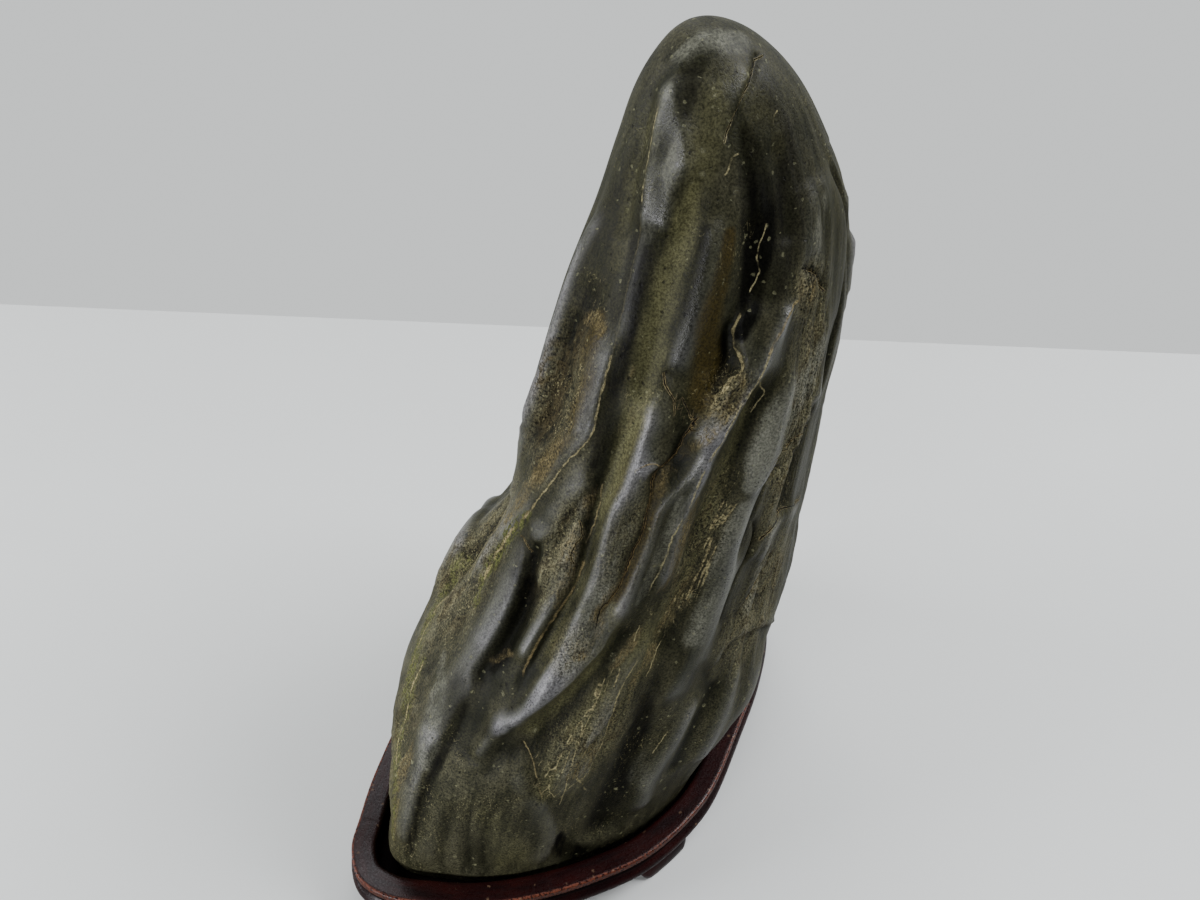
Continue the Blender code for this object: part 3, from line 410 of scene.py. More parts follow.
# folds: kind, reach to the left and right in mm, lift in mm, then the line they follow as
# (azimuth, height). Ridges and grooves are soft, edges and creases crisp. A step is raised
# on the left of a line going down, or on the right if its lift is below zero; its two
# lengths are the softness of its edge and how far behind it the lift dies.
rockFolds = [
    # crown
    ("edge", 1.2, 1.2, 0.4, [(-14, 272.6), (-23, 270), (-28, 269.3), (-32.5, 267.5), (-36, 265.8),
        (-35.5, 262.5)]),
    ("ridge", 7.5, 3.2, 2.1, [(-37, 266), (-35, 262.5), (-32.5, 260), (-30, 257.5), (-27, 255.5),
        (-24.5, 252.5), (-23.4, 249), (-24, 245), (-25.2, 241), (-27, 236), (-29, 230)]),
    ("ridge", 6, 5, 0.3, [(-33, 250), (-31.5, 240), (-31, 230), (-31, 218), (-30.5, 204),
        (-30, 192)]),
    ("ridge", 5.5, 6, 0.5, [(-14, 266), (-17, 260), (-17.5, 254), (-15, 246)]),
    ("groove", 3.6, 3, 1.5, [(-52, 266), (-50, 259), (-48.5, 252), (-48, 245), (-46.5, 237),
        (-43.5, 226)]),
    ("step", 0.5, 9, -0.7, [(-39.5, 261), (-39.4, 257.5), (-40.5, 254), (-41, 250), (-40.5, 246),
        (-39.5, 241), (-37.5, 236), (-36, 229), (-35, 220), (-34.4, 211), (-34, 203)]),
    ("step", 0.5, 7, 0.5, [(37, 265), *crownCrack[3:8], (-3, 251)]),
    ("step", 2.2, 11, -1.1, [(80, 239), (67, 238.5), (54.5, 237), (46.5, 234), (41, 229.5),
        (37.5, 223.5), (33, 218), (29, 211)]),
    ("step", 0.7, 9, 1.4, longLedge),
    ("crease", 0.7, 0.7, 1.3, crownCrack),
    # upper column
    ("groove", 4, 4, 1.6, [(-19, 248), (-20.5, 238), (-21.5, 229), (-23, 219), (-23.2, 209),
        (-23, 199), (-24, 189)]),
    ("ridge", 3, 4.4, 1.1, [(-7.8, 238), (-8.5, 232), (-10, 226.5), (-10.5, 219.5), (-11.5, 213),
        (-13.5, 205.5), (-15.5, 197)]),
    ("groove", 9, 11, 1, [(16, 264), (14, 252), (12, 239), (9, 225), (5, 210), (0, 198),
        (-5, 187)]),
    ("groove", 7, 8, 1.6, [(11, 238), (9, 226), (6, 214), (2, 203), (-2, 193)]),
    ("groove", 3, 1.8, 1.5, [(5, 211), (5, 204), (6, 198), (2, 193), (-3, 188)]),
    ("step", 0.7, 9, -2.2, pocketLip),
    ("groove", 4, 4, 1, [(34, 252), (32, 238), (31, 225)]),
    ("ridge", 4, 4, 0.5, [(52, 240), (50, 230), (49, 220)]),
    # sheets down the middle
    ("edge", 2.4, 6, 3.6, [(-17.5, 199), (-19.5, 189.5), (-20.5, 181), (-21.2, 174), (-22.2, 166),
        (-23.7, 160.5), (-24.5, 154), (-24.4, 148), (-24, 140), (-23.8, 132), (-24, 124),
        (-24, 115), (-24.2, 106), (-25, 97), (-26.5, 87)]),
    ("groove", 4, 2.6, 2.6, [(-24.5, 190), (-25.4, 180), (-26, 170), (-27, 160), (-27, 150),
        (-26.4, 138), (-26.2, 126), (-27.2, 115), (-27.6, 104), (-28.6, 93), (-31, 82)]),
    ("crease", 1, 1.2, 2, [(-6, 186), *middleCrack]),
    ("step", 0.8, 9, 1, [(-9, 178), *middleCrack[2:12], (-18.4, 122)]),
    ("step", 0.7, 9, -0.9, middleChip),
    ("crease", 0.5, 0.7, 0.7, [(-18, 200), *columnCrack, (-10.5, 181)]),
    ("crease", 0.6, 0.5, 0.6, [(-12, 192.5), (-8.5, 187.5), (-5.5, 183)]),
    ("edge", 2.6, 4.2, 3.2, [(5, 187.5), (3, 184.5), (0, 182.5), (-2.8, 179), (-3, 175),
        (-4.4, 170.5), (-7, 166.5), (-10, 162.5), (-12, 158.5), (-12.6, 153), (-12.6, 145),
        (-13.2, 138), (-13.5, 131), (-14, 124), (-14.3, 116)]),
    ("edge", 4, 1.8, 2.6, [(-13.8, 123), (-14.2, 117), (-14.6, 112), (-16, 108.5), (-17.6, 105),
        (-19, 101.5), (-21, 98), (-23.6, 93), (-27, 85), (-30, 76)]),
    ("edge", 2, 5.5, 2.8, rightEdge),
    ("groove", 7, 6, 2.8, [(26, 196), (18, 184), (12.5, 173), (9.5, 162), (8, 152), (7.6, 142),
        (8, 131), (8, 120), (6, 108), (3, 96)]),
    # left side
    ("ridge", 5, 5, 0.6, [(-30.5, 184), (-31.5, 175), (-34, 166), (-38, 157), (-40, 148)]),
    ("groove", 2.4, 2.6, 2.7, [(-40, 143), (-39.6, 136), (-38.6, 128), (-37.8, 120), (-37.6, 112),
        (-38, 104), (-38.6, 97), (-38.8, 90)]),
    ("groove", 3, 4, 2, [(-36.4, 130), (-36, 120), (-35.4, 110), (-35.6, 101), (-36, 94)]),
    ("step", 2, 9, 0.7, [(-40.2, 142), (-41, 134), (-40.6, 128), (-40, 121), (-39.4, 114),
        (-38.8, 106), (-38.6, 98)]),
    ("step", 0.6, 8, 1.2, [(-28, 165.5), (-31, 163), (-33.5, 159), (-34.6, 154.5), (-35.2, 150),
        (-36.4, 146), (-39.5, 141.5), (-42, 139)]),
    ("step", 0.6, 5, 0.9, [(-28.5, 153), (-27.6, 148), (-28, 143.5), (-28.6, 140), (-30, 137.5),
        (-31.5, 134.5), (-32, 129)]),
    ("step", 0.6, 6, 1.2, leftPlate),
    ("groove", 4.5, 4.5, 1.8, [(-36, 98), (-35.6, 90), (-34.8, 82), (-34.6, 73), (-35, 64)]),
    ("ridge", 3, 3, 1.6, [(-28.8, 166), (-31, 160), (-31.4, 152), (-31, 144), (-30.6, 136),
        (-30.8, 128), (-31.4, 120), (-32.4, 111), (-33, 101)]),
    ("ridge", 9, 7, 1.6, [(-41, 158), (-42, 146), (-42.8, 134), (-43.4, 122), (-43.5, 111),
        (-43.2, 101), (-43, 90), (-43.4, 79), (-43, 68), (-42.5, 57)]),
    ("ridge", 5, 4, 1.4, [(-43.8, 72), (-42.5, 60), (-41.3, 49), (-40.7, 38), (-41.2, 26),
        (-42.5, 12)]),
    ("groove", 2.4, 2.8, 1.5, [(-38.5, 88), (-38.5, 74), (-39.5, 64), (-39.5, 56), (-39, 45),
        (-39.5, 28), (-41.5, 8)]),
    ("crease", 0.8, 0.8, 0.9, leftNick),
    ("crease", 2.2, 2.2, 1.6, [(-50, 136), (-51.4, 126), (-52.4, 115), (-52, 104), (-51, 94)]),
    ("groove", 5, 5, 1.6, [(-50, 218), (-50, 202), (-49, 188), (-50, 174), (-54, 162)]),
    ("step", 0.5, 5, 0.8, [(-64, 228), (-60, 217), (-57.5, 208), (-56, 199), (-55, 188),
        (-55, 176), (-57, 164)]),
    ("crease", 0.6, 0.7, 0.6, [(-54, 190.5), (-48.5, 189), (-42.5, 186), (-41.5, 180),
        (-40, 174)]),
    ("crease", 2, 2.6, 1.6, [(-54, 208), (-53, 194), (-52, 180), (-55, 166)]),
    ("ridge", 3, 4.5, 1.8, [(-62, 234), (-60, 214), (-59, 196), (-60, 178), (-64, 160)]),
    ("groove", 4.5, 4.5, 4, [(-66, 158), (-65, 146), (-65, 134), (-66, 120), (-67, 104),
        (-68, 90)]),
    ("groove", 8, 8, 2.4, [(-92, 121), (-97, 115), (-101, 108), (-102, 101), (-102, 94),
        (-102, 86)]),
    ("ridge", 5, 6, 1.4, [(-60.5, 166), (-60.5, 160), (-61, 154), (-62, 148), (-64, 142)]),
    # right edge
    ("groove", 5, 5, 1.2, [(97, 242), (100, 232), (99, 225)]),
    ("ridge", 7, 7, 0.9, [(104, 221), (106, 216), (108, 211), (110, 206), (113, 198), (114, 190),
        (115, 182)]),
    ("groove", 5, 5, 1.6, [(90, 76), (85.5, 70), (83, 64)]),
    # left shoulder
    ("step", 2, 24, -3.4, [(-62, 103), (-72, 108), (-86, 107), (-98, 102), (-116, 93)]),
    # right side
    ("ridge", 5, 9, 3, [(44, 202), (38, 191), (33, 183), (29.5, 177), (25.5, 169.5), (23.3, 163),
        (22.8, 156), (21.3, 149), (21, 141), (22, 133), (23.2, 125), (23.6, 114), (21, 100),
        (17, 86), (13, 72), (11, 58)]),
    ("step", 0.8, 9, 1.2, [(80, 158), (73, 162), (64, 166), (56.5, 165.5), (50, 165), (44, 162.5),
        (36, 161), (28, 158), (22, 153)]),
    ("crease", 0.9, 1.2, 1.3, [(66, 152), (58, 154), (49.5, 153), (40, 155), (34, 152)]),
    ("crease", 0.9, 0.9, 1.3, [(30, 142), (36, 136), (39, 130), (37, 124), (32, 119), (30, 110),
        (32, 98)]),
    ("step", 0.8, 9, -1.3, rightLedge),
    ("crease", 1.4, 3, 1.8, [(80, 196), (71, 181), (61.5, 174), (53, 168.5), (44, 164), (36, 159),
        (30, 150), (28, 138), (27, 124)]),
    ("ridge", 4, 6, 1.2, [(70, 206), (62, 190), (56, 174), (53, 158), (51, 142), (49, 126),
        (47, 110)]),
    ("groove", 5, 5, 2.4, [(72, 170), (66, 156), (62, 142), (60, 126)]),
    ("step", 0.9, 12, 2, [(88, 60), *haunchLedge]),
    ("crease", 1.4, 1.4, 1.2, haunchCrack),
    ("groove", 1.6, 2, 2, [(82, 243), (86, 230), (88, 217), (87, 204), (84, 190), (80, 176),
        (79, 162)]),
    ("crease", 1.2, 1.2, 1.4, browCrack),
    # belly and foot
    ("groove", 5, 8, 2.2, [(-10, 120), (-11, 111), (-13.6, 104), (-16.6, 96), (-19.6, 87),
        (-23, 76), (-26, 64)]),
    ("ridge", 7, 7, 1.6, [(-2, 114), (-5, 98), (-7, 82), (-9, 66), (-12, 48)]),
    ("step", 0.7, 9, 0.9, [(-2, 106), (-5, 96), *bellyLedge, (-5.5, 55)]),
    ("step", 0.6, 7, 0.6, [(-10, 102), *bellyStep]),
    ("crease", 1.2, 1.2, 0.9, [(-24, 79), *bellyCrack, (-15, 50)]),
    ("ridge", 2.6, 2.6, 1.1, [(-29, 98), (-30, 90), (-30.5, 83), (-31.5, 75), (-33, 66)]),
    ("groove", 2.2, 2.2, 0.9, [(-27, 86), (-27.5, 77), (-28, 68), (-28, 60)]),
    ("ridge", 3, 3, 0.8, [(-22, 84), (-22, 74), (-21, 64), (-20, 54)]),
    ("groove", 1.8, 1.8, 1, [(-32, 50), (-33, 38), (-34, 22), (-35.5, 2)]),
    ("groove", 1.5, 1.5, 1, [(-29.5, 50), (-29, 36), (-29, 18), (-29, 0)]),
    ("groove", 1.5, 1.5, 1, [(-25, 50), (-25, 38), (-26, 22), (-26.5, 2)]),
    ("step", 1, 8, 1.8, [(-18, 60), (-14, 50), (-11.5, 39.5), (-9.5, 25), (-11, 12), (-13, -2)]),
    ("groove", 6, 6, 2.6, [(15, 84), (10, 70), (6, 55), (4, 40), (3, 22), (3, 6)]),
    ("ridge", 5, 5, 2, [(30, 74), (24, 60), (20, 46), (18, 30), (17, 14)]),
    ("groove", 4, 4, 1.6, [(42, 72), (35, 58), (30, 44), (28, 30)]),
    ("ridge", 4, 4, 1.6, [(54, 72), (47, 60), (42, 44), (39, 28)]),
    # back
    ("groove", 6, 6, 4, [(104, 226), (101, 214), (103, 196), (107, 168), (110, 138), (109, 108),
        (106, 78)]),
    ("ridge", 6, 6, 2.8, [(117, 196), (119, 180), (124, 156), (127, 122), (126, 88), (122, 56)]),
    ("groove", 7, 7, 4.4, [(140, 238), (137, 210), (139, 182), (143, 152), (146, 120), (146, 88),
        (143, 58)]),
    ("step", 1.8, 12, 3, [(118, 212), (128, 196), (139, 184), (151, 175), (165, 169)]),
    ("ridge", 7, 7, 4, [(164, 236), (160, 208), (162, 178), (168, 148), (172, 116), (172, 82),
        (168, 50)]),
    ("groove", 6, 6, 4.2, [(190, 232), (186, 204), (187, 176), (190, 148), (194, 118), (195, 88),
        (192, 58)]),
    ("groove", 5, 5, 5, [(203, 134), (206, 120), (207, 104), (205, 90)]),
    ("ridge", 6.5, 6.5, 3.4, [(214, 224), (210, 196), (212, 168), (216, 140), (219, 110),
        (218, 80), (214, 48)]),
    ("groove", 6, 6, 3.4, [(236, 220), (232, 194), (234, 168), (238, 138), (240, 108), (238, 78)]),
    ("ridge", 6, 6, 3, [(254, 206), (250, 182), (252, 158), (256, 132), (258, 104), (257, 74),
        (254, 46)]),
    ("groove", 2, 2, 2.4, [(152, 132), (156, 114), (155, 96), (158, 78), (162, 62)]),
]


def beside(points, normals, line):
    # distance from a line in space, side of it (right is positive), share of the way along
    step = np.diff(line, axis=0)
    run = np.linalg.norm(step, axis=1)
    start = lengthAlong(line)
    best = np.full(len(points), 1e9)
    side, along = np.zeros(len(points)), np.zeros(len(points))
    for i in range(len(step)):
        away = points - line[i]
        t = np.clip(away @ step[i] / run[i] ** 2, 0, 1)
        off = away - t[:, None] * step[i]
        distance = np.linalg.norm(off, axis=1)
        nearer = distance < best
        turn = np.einsum("ij,ij->i", np.cross(step[i] / run[i], off), normals)
        best = np.where(nearer, distance, best)
        side = np.where(nearer, turn, side)
        along = np.where(nearer, start[i] + t * run[i], along)
    return best, side, along / start[-1]


def nearLine(points, normals, line, reach):
    # the same, for those points that lie within reach of a line on the plain body
    smooth = spline(line, 4)
    path = bodyPoint(smooth[:, 0], smooth[:, 1])
    low, high = path.min(axis=0) - reach, path.max(axis=0) + reach
    near = np.where(np.all((points > low) & (points < high), axis=1))[0]
    return near, *beside(points[near], normals[near], path)


def rawness(azimuth, height):
    raw = np.zeros(len(azimuth))
    for atAzimuth, atHeight, breadth, tall, amount in rockForm["rawPlaces"]:
        away = (azimuth - atAzimuth + 180) % 360 - 180
        raw = np.maximum(raw, amount * np.exp(-(away / breadth) ** 2
                                              - ((height - atHeight) / tall) ** 2))
    return raw


def leanedAcross(azimuth, height):
    # azimuth with the lean of the layers taken out
    return azimuth - byAzimuth(azimuth, rockForm["lean"]) * (height - rockForm["leanLevel"])


def layerPush(azimuth, height):
    # thin leaning layers everywhere, and flaky plates in the raw places
    across = leanedAcross(azimuth, height)
    layers = sum(lift * wobble(across / wide, height / tall, seed)
                 for seed, (lift, wide, tall) in enumerate(rockForm["layers"], 1))
    raw = rawness(azimuth, height)
    wide, tall, lift = rockForm["plateBend"]
    bend = lift * wobble(across / wide, height / tall, 4)
    wide, tall, lift = rockForm["chip"]
    chips = lift * wobble(across / wide, height / tall, 6)
    wide, tall, lift = rockForm["plate"]
    value, place, edge = plates((across + bend) / wide, (height + 4 * bend) / tall, 1)
    flakes = (lift * (value - 0.5) + 0.9 * place) * ease(edge / 0.12)
    edge = edge * wide
    wide, tall, lift = rockForm["smallPlate"]
    value, place, smallEdge = plates((across - bend) / wide, (height + 3 * bend) / tall, 2)
    flakes += (lift * (value - 0.5) + 0.35 * place) * ease(smallEdge / 0.2)
    # only half of the small plates show an edge
    edge = np.minimum(edge, smallEdge * wide + 1.2 * (value < 0.5))
    top = ease((rockForm["peak"] - height) / 40)
    return (layers * (0.3 + 0.7 * raw) + (flakes + chips) * raw) * top, raw, edge


def ripplePush(azimuth, height):
    # slow waves that run down the rock
    a = np.radians(azimuth)
    drift = 0.5 * np.sin(height / 31) + 0.3 * np.sin(height / 17 + 2 * a)
    waves = (0.45 * np.sin(17 * a + 2.1 * drift) + 0.35 * np.sin(29 * a - 3.0 * drift + 1.7)
             + 0.3 * np.sin(11 * a + height / 23))
    return rockForm["ripple"] * waves * ease((rockForm["peak"] - height) / 60)


def foldPush(points, normals, azimuth, height):
    # how far each point moves out, with the rawness and the plate edges there
    push = np.zeros(len(points))
    for atAzimuth, atHeight, breadth, tall, amount in rockForm["swellings"]:
        centre = bodyPoint([atAzimuth], [atHeight])[0]
        across = np.linalg.norm((points - centre)[:, :2], axis=1)
        push += amount * np.exp(-(across / breadth) ** 2 - ((height - atHeight) / tall) ** 2)
    taper, k = rockForm["foldTaper"], rockForm["crispness"]
    for kind, left, right, lift, line in rockFolds:
        reach = (2.6 if kind == "step" else 4) * max(left, right)
        near, distance, side, along = nearLine(points, normals, line, reach)
        ends = ease(along / taper) * ease((1 - along) / taper)
        if kind == "step":
            rise = 0.5 * (1 + np.tanh(-side / left * np.sign(lift)))
            push[near] += abs(lift) * ends * rise * np.exp(-(distance / right) ** 2)
            continue
        reached = distance / np.where(side < 0, left, right)
        crisp = kind in ("edge", "crease")
        shape = np.exp(k - np.sqrt(reached ** 2 + k ** 2) if crisp else -reached ** 2)
        push[near] += lift * ends * shape * (1 if kind in ("ridge", "edge") else -1)
    layers, raw, edge = layerPush(azimuth, height)
    push += ripplePush(azimuth, height)
    push += layers
    seated = ease((height + 2) / rockForm["seatFade"])
    push *= np.where(push > 0, seated, np.maximum(seated, rockForm["seatHollows"]))
    return push, raw, edge


def hollowness(push, sides, rings):
    # how far each place stands out from, or lies under, what is around it
    grid = push.reshape(rings, sides)
    wide = grid
    for _ in range(rockForm["evenings"]):
        wide = (wide + np.roll(wide, 1, axis=1) + np.roll(wide, -1, axis=1)) / 3
        wide = (wide + np.vstack([wide[:1], wide[:-1]]) + np.vstack([wide[1:], wide[-1:]])) / 3
    return (grid - wide).ravel()


def ringHeights(count):
    # evenly spaced over the surface, so closer in height where the crown closes
    justUnderPeak = rockForm["peak"] - 0.05
    fine = np.linspace(-standForm["recessDepth"], justUnderPeak, 4000)
    _, _, length, breadth = sectionAt(fine).T
    run = lengthAlong(np.column_stack([fine, np.sqrt(length * breadth)]))
    return np.interp(np.linspace(0, run[-1], count), run, fine)


def buildRock():
    print("rock: body and folds")
    half = rockForm["frontHalf"]
    azimuths = np.concatenate([
        np.linspace(-half, half, rockForm["frontSides"], endpoint=False),
        np.linspace(half, 360 - half, rockForm["backSides"], endpoint=False)])
    sides, rings = len(azimuths), rockForm["rings"]
    height, azimuth = (g.ravel() for g in np.meshgrid(ringHeights(rings), azimuths,
                                                      indexing="ij"))
    body = bodyPoint(azimuth, height)
    grid = body.reshape(rings, sides, 3)
    around = np.roll(grid, -1, axis=1) - np.roll(grid, 1, axis=1)
    normals = unit(np.cross(around, np.gradient(grid, axis=0)).reshape(-1, 3))
    push, raw, edge = foldPush(body, normals, azimuth, height)
    points = body + normals * push[:, None]
    # where each point would lie if the layers stood upright
    _, _, length, breadth = sectionAt(height).T
    turn = np.radians(azimuth)
    shift = np.radians(azimuth - leanedAcross(azimuth, height)) * np.sqrt(length * breadth)
    flow = points - np.column_stack([np.cos(turn) * shift, np.sin(turn) * shift, 0 * shift])
    fields = {"relief": np.column_stack([hollowness(push, sides, rings), raw, edge]),
              "flow": flow}
    recessFloor = rimTop - standForm["recessDepth"]
    points[:, 2] = np.maximum(points[:, 2] + rimTop, recessFloor)
    ends = [[*standCentre, recessFloor], points[-sides:].mean(axis=0)]
    count = len(points)
    rock = makeObject("scholarRock", np.vstack([points, ends]),
                      loftFaces(rings, sides, count, count + 1))
    return rock, body, normals, fields


rock, rockBody, rockNormals, rockFields = buildRock()
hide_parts("rock")
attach(rock, "root")


stand = buildStand()
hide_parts("stand")
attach(stand, "root")


# shader helpers; a socket knows its tree, so only the first nodes of a tree need to be told

def feed(node, values):
    # connects sockets to the inputs of a node, or sets them to plain values
    for key, value in values.items():
        if isinstance(value, bpy.types.NodeSocket):
            node.id_data.links.new(value, node.inputs[key])
        else:
            node.inputs[key].default_value = value
    return node


def put(tree, kind, values=None, **settings):
    node = tree.nodes.new(kind)
    for key, value in settings.items():
        setattr(node, key, value)
    return feed(node, values or {})


def treeOf(*values):
    # the node tree that the first socket among the values belongs to
    return next(v.id_data for v in values if isinstance(v, bpy.types.NodeSocket))


def calc(operation, a, b=0.0, clamp=False):
    return put(treeOf(a, b), "ShaderNodeMath", {0: a, 1: b}, operation=operation,
               use_clamp=clamp).outputs[0]


def plus(a, b, clamp=False):
    return calc("ADD", a, b, clamp)


def minus(a, b):
    return calc("SUBTRACT", a, b)


def times(a, b):
    return calc("MULTIPLY", a, b)


def larger(a, b):
    return calc("MAXIMUM", a, b)


def blend(factor, a, b, mode="MIX"):
    # mixes colours a and b
    return put(treeOf(factor, a, b), "ShaderNodeMix", {0: factor, 6: a, 7: b},
               data_type="RGBA", blend_type=mode).outputs[2]


def between(value, low, high, toLow=0.0, toHigh=1.0):
    # eases from one value to another as the input goes from low to high
    return put(treeOf(value), "ShaderNodeMapRange",
               {0: value, 1: low, 2: high, 3: toLow, 4: toHigh},
               interpolation_type="SMOOTHSTEP").outputs[0]


def move(place, operation, by):
    return put(treeOf(place), "ShaderNodeVectorMath", {0: place, 1: by},
               operation=operation).outputs[0]


def noise(place, scale, detail, roughness=0.5):
    return put(treeOf(place), "ShaderNodeTexNoise", {
        "Vector": place, "Scale": scale, "Detail": detail, "Roughness": roughness}).outputs


def split(vector):
    return put(treeOf(vector), "ShaderNodeSeparateXYZ", {0: vector}).outputs


def field(tree, name):
    return put(tree, "ShaderNodeAttribute", attribute_name=name).outputs


def bumped(height, strength, depth):
    return put(treeOf(height), "ShaderNodeBump", {
        "Strength": strength, "Distance": depth, "Height": height}).outputs[0]


def tone(red, green, blue):
    # a screen colour, 0 to 255, as a shader colour
    def linear(c):
        c /= 255
        return c / 12.92 if c <= 0.04045 else ((c + 0.055) / 1.055) ** 2.4
    return (linear(red), linear(green), linear(blue), 1.0)


def newGroup(name, inputs, outputs):
    # inputs with their usual values, or None for a vector; outputs are all plain values
    group = bpy.data.node_groups.new(name, "ShaderNodeTree")
    for label, value in inputs.items():
        kind = "NodeSocketVector" if value is None else "NodeSocketFloat"
        socket = group.interface.new_socket(label, in_out="INPUT", socket_type=kind)
        if value is not None:
            socket.default_value = value
    for label in outputs:
        group.interface.new_socket(label, in_out="OUTPUT", socket_type="NodeSocketFloat")
    return group, group.nodes.new("NodeGroupInput").outputs, group.nodes.new("NodeGroupOutput")


def useGroup(group, place, **values):
    node = put(treeOf(place), "ShaderNodeGroup", node_tree=group)
    return feed(node, {"Place": place, **values}).outputs


def mottleGroup():
    # cloudy variation with fine grain over it
    group, given, result = newGroup(
        "mottle", {"Place": None, "Scale": 60.0, "Detail": 6.0, "Grain": 1800.0},
        ["Cloud", "Fine"])
    cloud = noise(given["Place"], given["Scale"], given["Detail"], 0.6)["Fac"]
    fine = noise(given["Place"], given["Grain"], 3.0, 0.7)["Fac"]
    feed(result, {"Cloud": between(cloud, 0.32, 0.68), "Fine": between(fine, 0.3, 0.7)})
    return group


def speckGroup():
    # small scattered grains: a mask that is 1 inside them
    group, given, result = newGroup(
        "specks", {"Place": None, "Scale": 200.0, "Share": 0.2, "Size": 0.25}, ["Mask"])
    warp = noise(given["Place"], 900.0, 2.0)["Color"]
    shift = move(warp, "MULTIPLY", (0.0014, 0.0014, 0.0014))
    cell = put(group, "ShaderNodeTexVoronoi", {
        "Vector": move(given["Place"], "ADD", shift), "Scale": given["Scale"]}).outputs
    chance = put(group, "ShaderNodeSeparateColor", {0: cell["Color"]}).outputs
    chosen = calc("LESS_THAN", chance[0], given["Share"])
    radius = times(given["Size"], plus(0.5, chance[1]))
    inside = between(minus(radius, cell["Distance"]), 0.0, 0.1)
    feed(result, {"Mask": times(inside, chosen)})
    return group


def veinGroup():
    # a line from its signed distance in mm: core, broken and ragged border, and tone
    group, given, result = newGroup(
        "veinLine", {"Place": None, "Line": None, "Core": 0.3, "Border": 1.0},
        ["Core", "Border", "Tone"])
    away, mask, pitch = split(given["Line"])
    wander = noise(given["Place"], 420.0, 4.0)["Fac"]
    broken = noise(given["Place"], 160.0, 3.0)["Fac"]
    distance = calc("ABSOLUTE", plus(away, times(minus(wander, 0.5), 1.1)))
    strength = between(mask, 0.1, 0.35)
    core = between(distance, given["Core"], times(given["Core"], 0.3))
    border = between(distance, given["Border"], times(given["Border"], 0.4))
    feed(result, {"Core": times(core, strength), "Tone": pitch,
                  "Border": times(times(border, strength), between(broken, 0.36, 0.52))})
    return group


mottle, specks, veinLine = mottleGroup(), speckGroup(), veinGroup()


def speckle(place, scale, share, size):
    return useGroup(specks, place, Scale=scale, Share=share, Size=size)["Mask"]


def cover(finish, layers, colour):
    # lays the tones of a finish over a colour, each as strongly as its mask and its cover say
    for name, mask in layers:
        if name in finish["cover"]:
            mask = times(mask, finish["cover"][name])
        colour = blend(mask, colour, finish[name])
    return colour


def newMaterial(name):
    material = bpy.data.materials.new(name)
    material.use_nodes = True
    tree = material.node_tree
    place = put(tree, "ShaderNodeTexCoord").outputs["Object"]
    return material, tree, tree.nodes["Principled BSDF"], place


# the rock's finish

rockFinish = {
    "charcoal": tone(33, 34, 23),
    "slate": tone(62, 61, 45),
    # paler worn crests that also carry a painted highlight
    "wornCrestSheen": tone(78, 80, 68),
    # painted highlight on the ridges that stand out most
    "ridgeHighlight": tone(128, 127, 132),
    # paler stone and painted highlights on crests and planes that catch the light
    "paleStoneAndSheen": tone(106, 107, 94),
    "dust": tone(106, 104, 80),
    "loam": tone(50, 50, 28),
    # painted shade in the hollows
    "hollowShade": tone(17, 19, 9),
    "olive": tone(87, 86, 58),
    "umber": tone(54, 47, 21),
    # dark stone and painted shade, which also dims the shine
    "inkAndShade": tone(12, 12, 8),
    "moss": tone(84, 87, 48),
    "tan": tone(104, 94, 64),
    "veinPale": tone(168, 160, 118),
    "veinRust": tone(116, 92, 50),
    "fleck": tone(128, 128, 96),
    "crack": tone(10, 9, 6),
    # the most that these cover
    "cover": {"wornCrestSheen": 0.6, "loam": 0.4, "hollowShade": 0.85, "ridgeHighlight": 0.45, "fleck": 0.75,
              "veinPale": 0.4, "pit": 0.7},
    "veinCover": 0.75,
    "pit": tone(10, 9, 6),
    # where these begin and are full, in mm above the surroundings
    "standing": {"wornCrestSheen": (0.0, 1.8), "hollowShade": (0.1, -1.6), "ridgeHighlight": (0.9, 2.6),
                 "paleStoneAndSheen": (-1.0, 0.2)},
    # scales of the clouds and of the streaks, coarse and fine, and the stretch of the streaks
    "clouds": (45.0, 1500.0),
    "streaks": (170.0, 1000.0),
    "streakStretch": (0.001, 0.001, 0.00018),
    "footHeights": (105.0, 50.0),    # dust and grains gather from the first to the second
    "footDust": 0.28,
    # grains: scale, share of cells, size and strength, where two values are for the upper
    # rock and the foot
    "grains": [
        (620.0, (0.14, 0.14), 0.26, (0.5, 0.5)),
        (300.0, (0.0, 0.2), 0.2, (0.8, 0.8)),
        (130.0, (0.05, 0.3), 0.12, (0.35, 0.85))],
    "pits": (520.0, 0.16, 0.2),      # scale, share, size
    # lines: half width of the core and the border in mm, depth of the core
    "lines": {"seam": (0.12, 0.28, 0.3), "vein": (0.18, 0.45, 0.3), "crack": (0.2, 0.42, 1.0)},
    "grainContrast": (1.25, 2.15),   # on smooth and on rough stone
    # roughness where polished, on plain stone and on raw stone, then the strength of the shine
    "polish": 0.24,
    "dull": 0.44,
    "raw": 0.64,
    "shineLow": 0.14,
    "shineHigh": 0.95,
    "bump": (0.7, 0.0007),           # strength, depth in metres
    # how bands, veins and flecks spread over the points of the mesh, in mm
    "farAway": 9.0,        # kept where no line or fleck is near
    "bandReach": 2.2,      # times the half width
    "bandEdge": 1.35,      # times the half width, where the colour is gone
    "veinReach": 5.0,
    "veinFade": 2.4,
    "veinTaper": 0.08,     # share of the line over which each end dies away
}

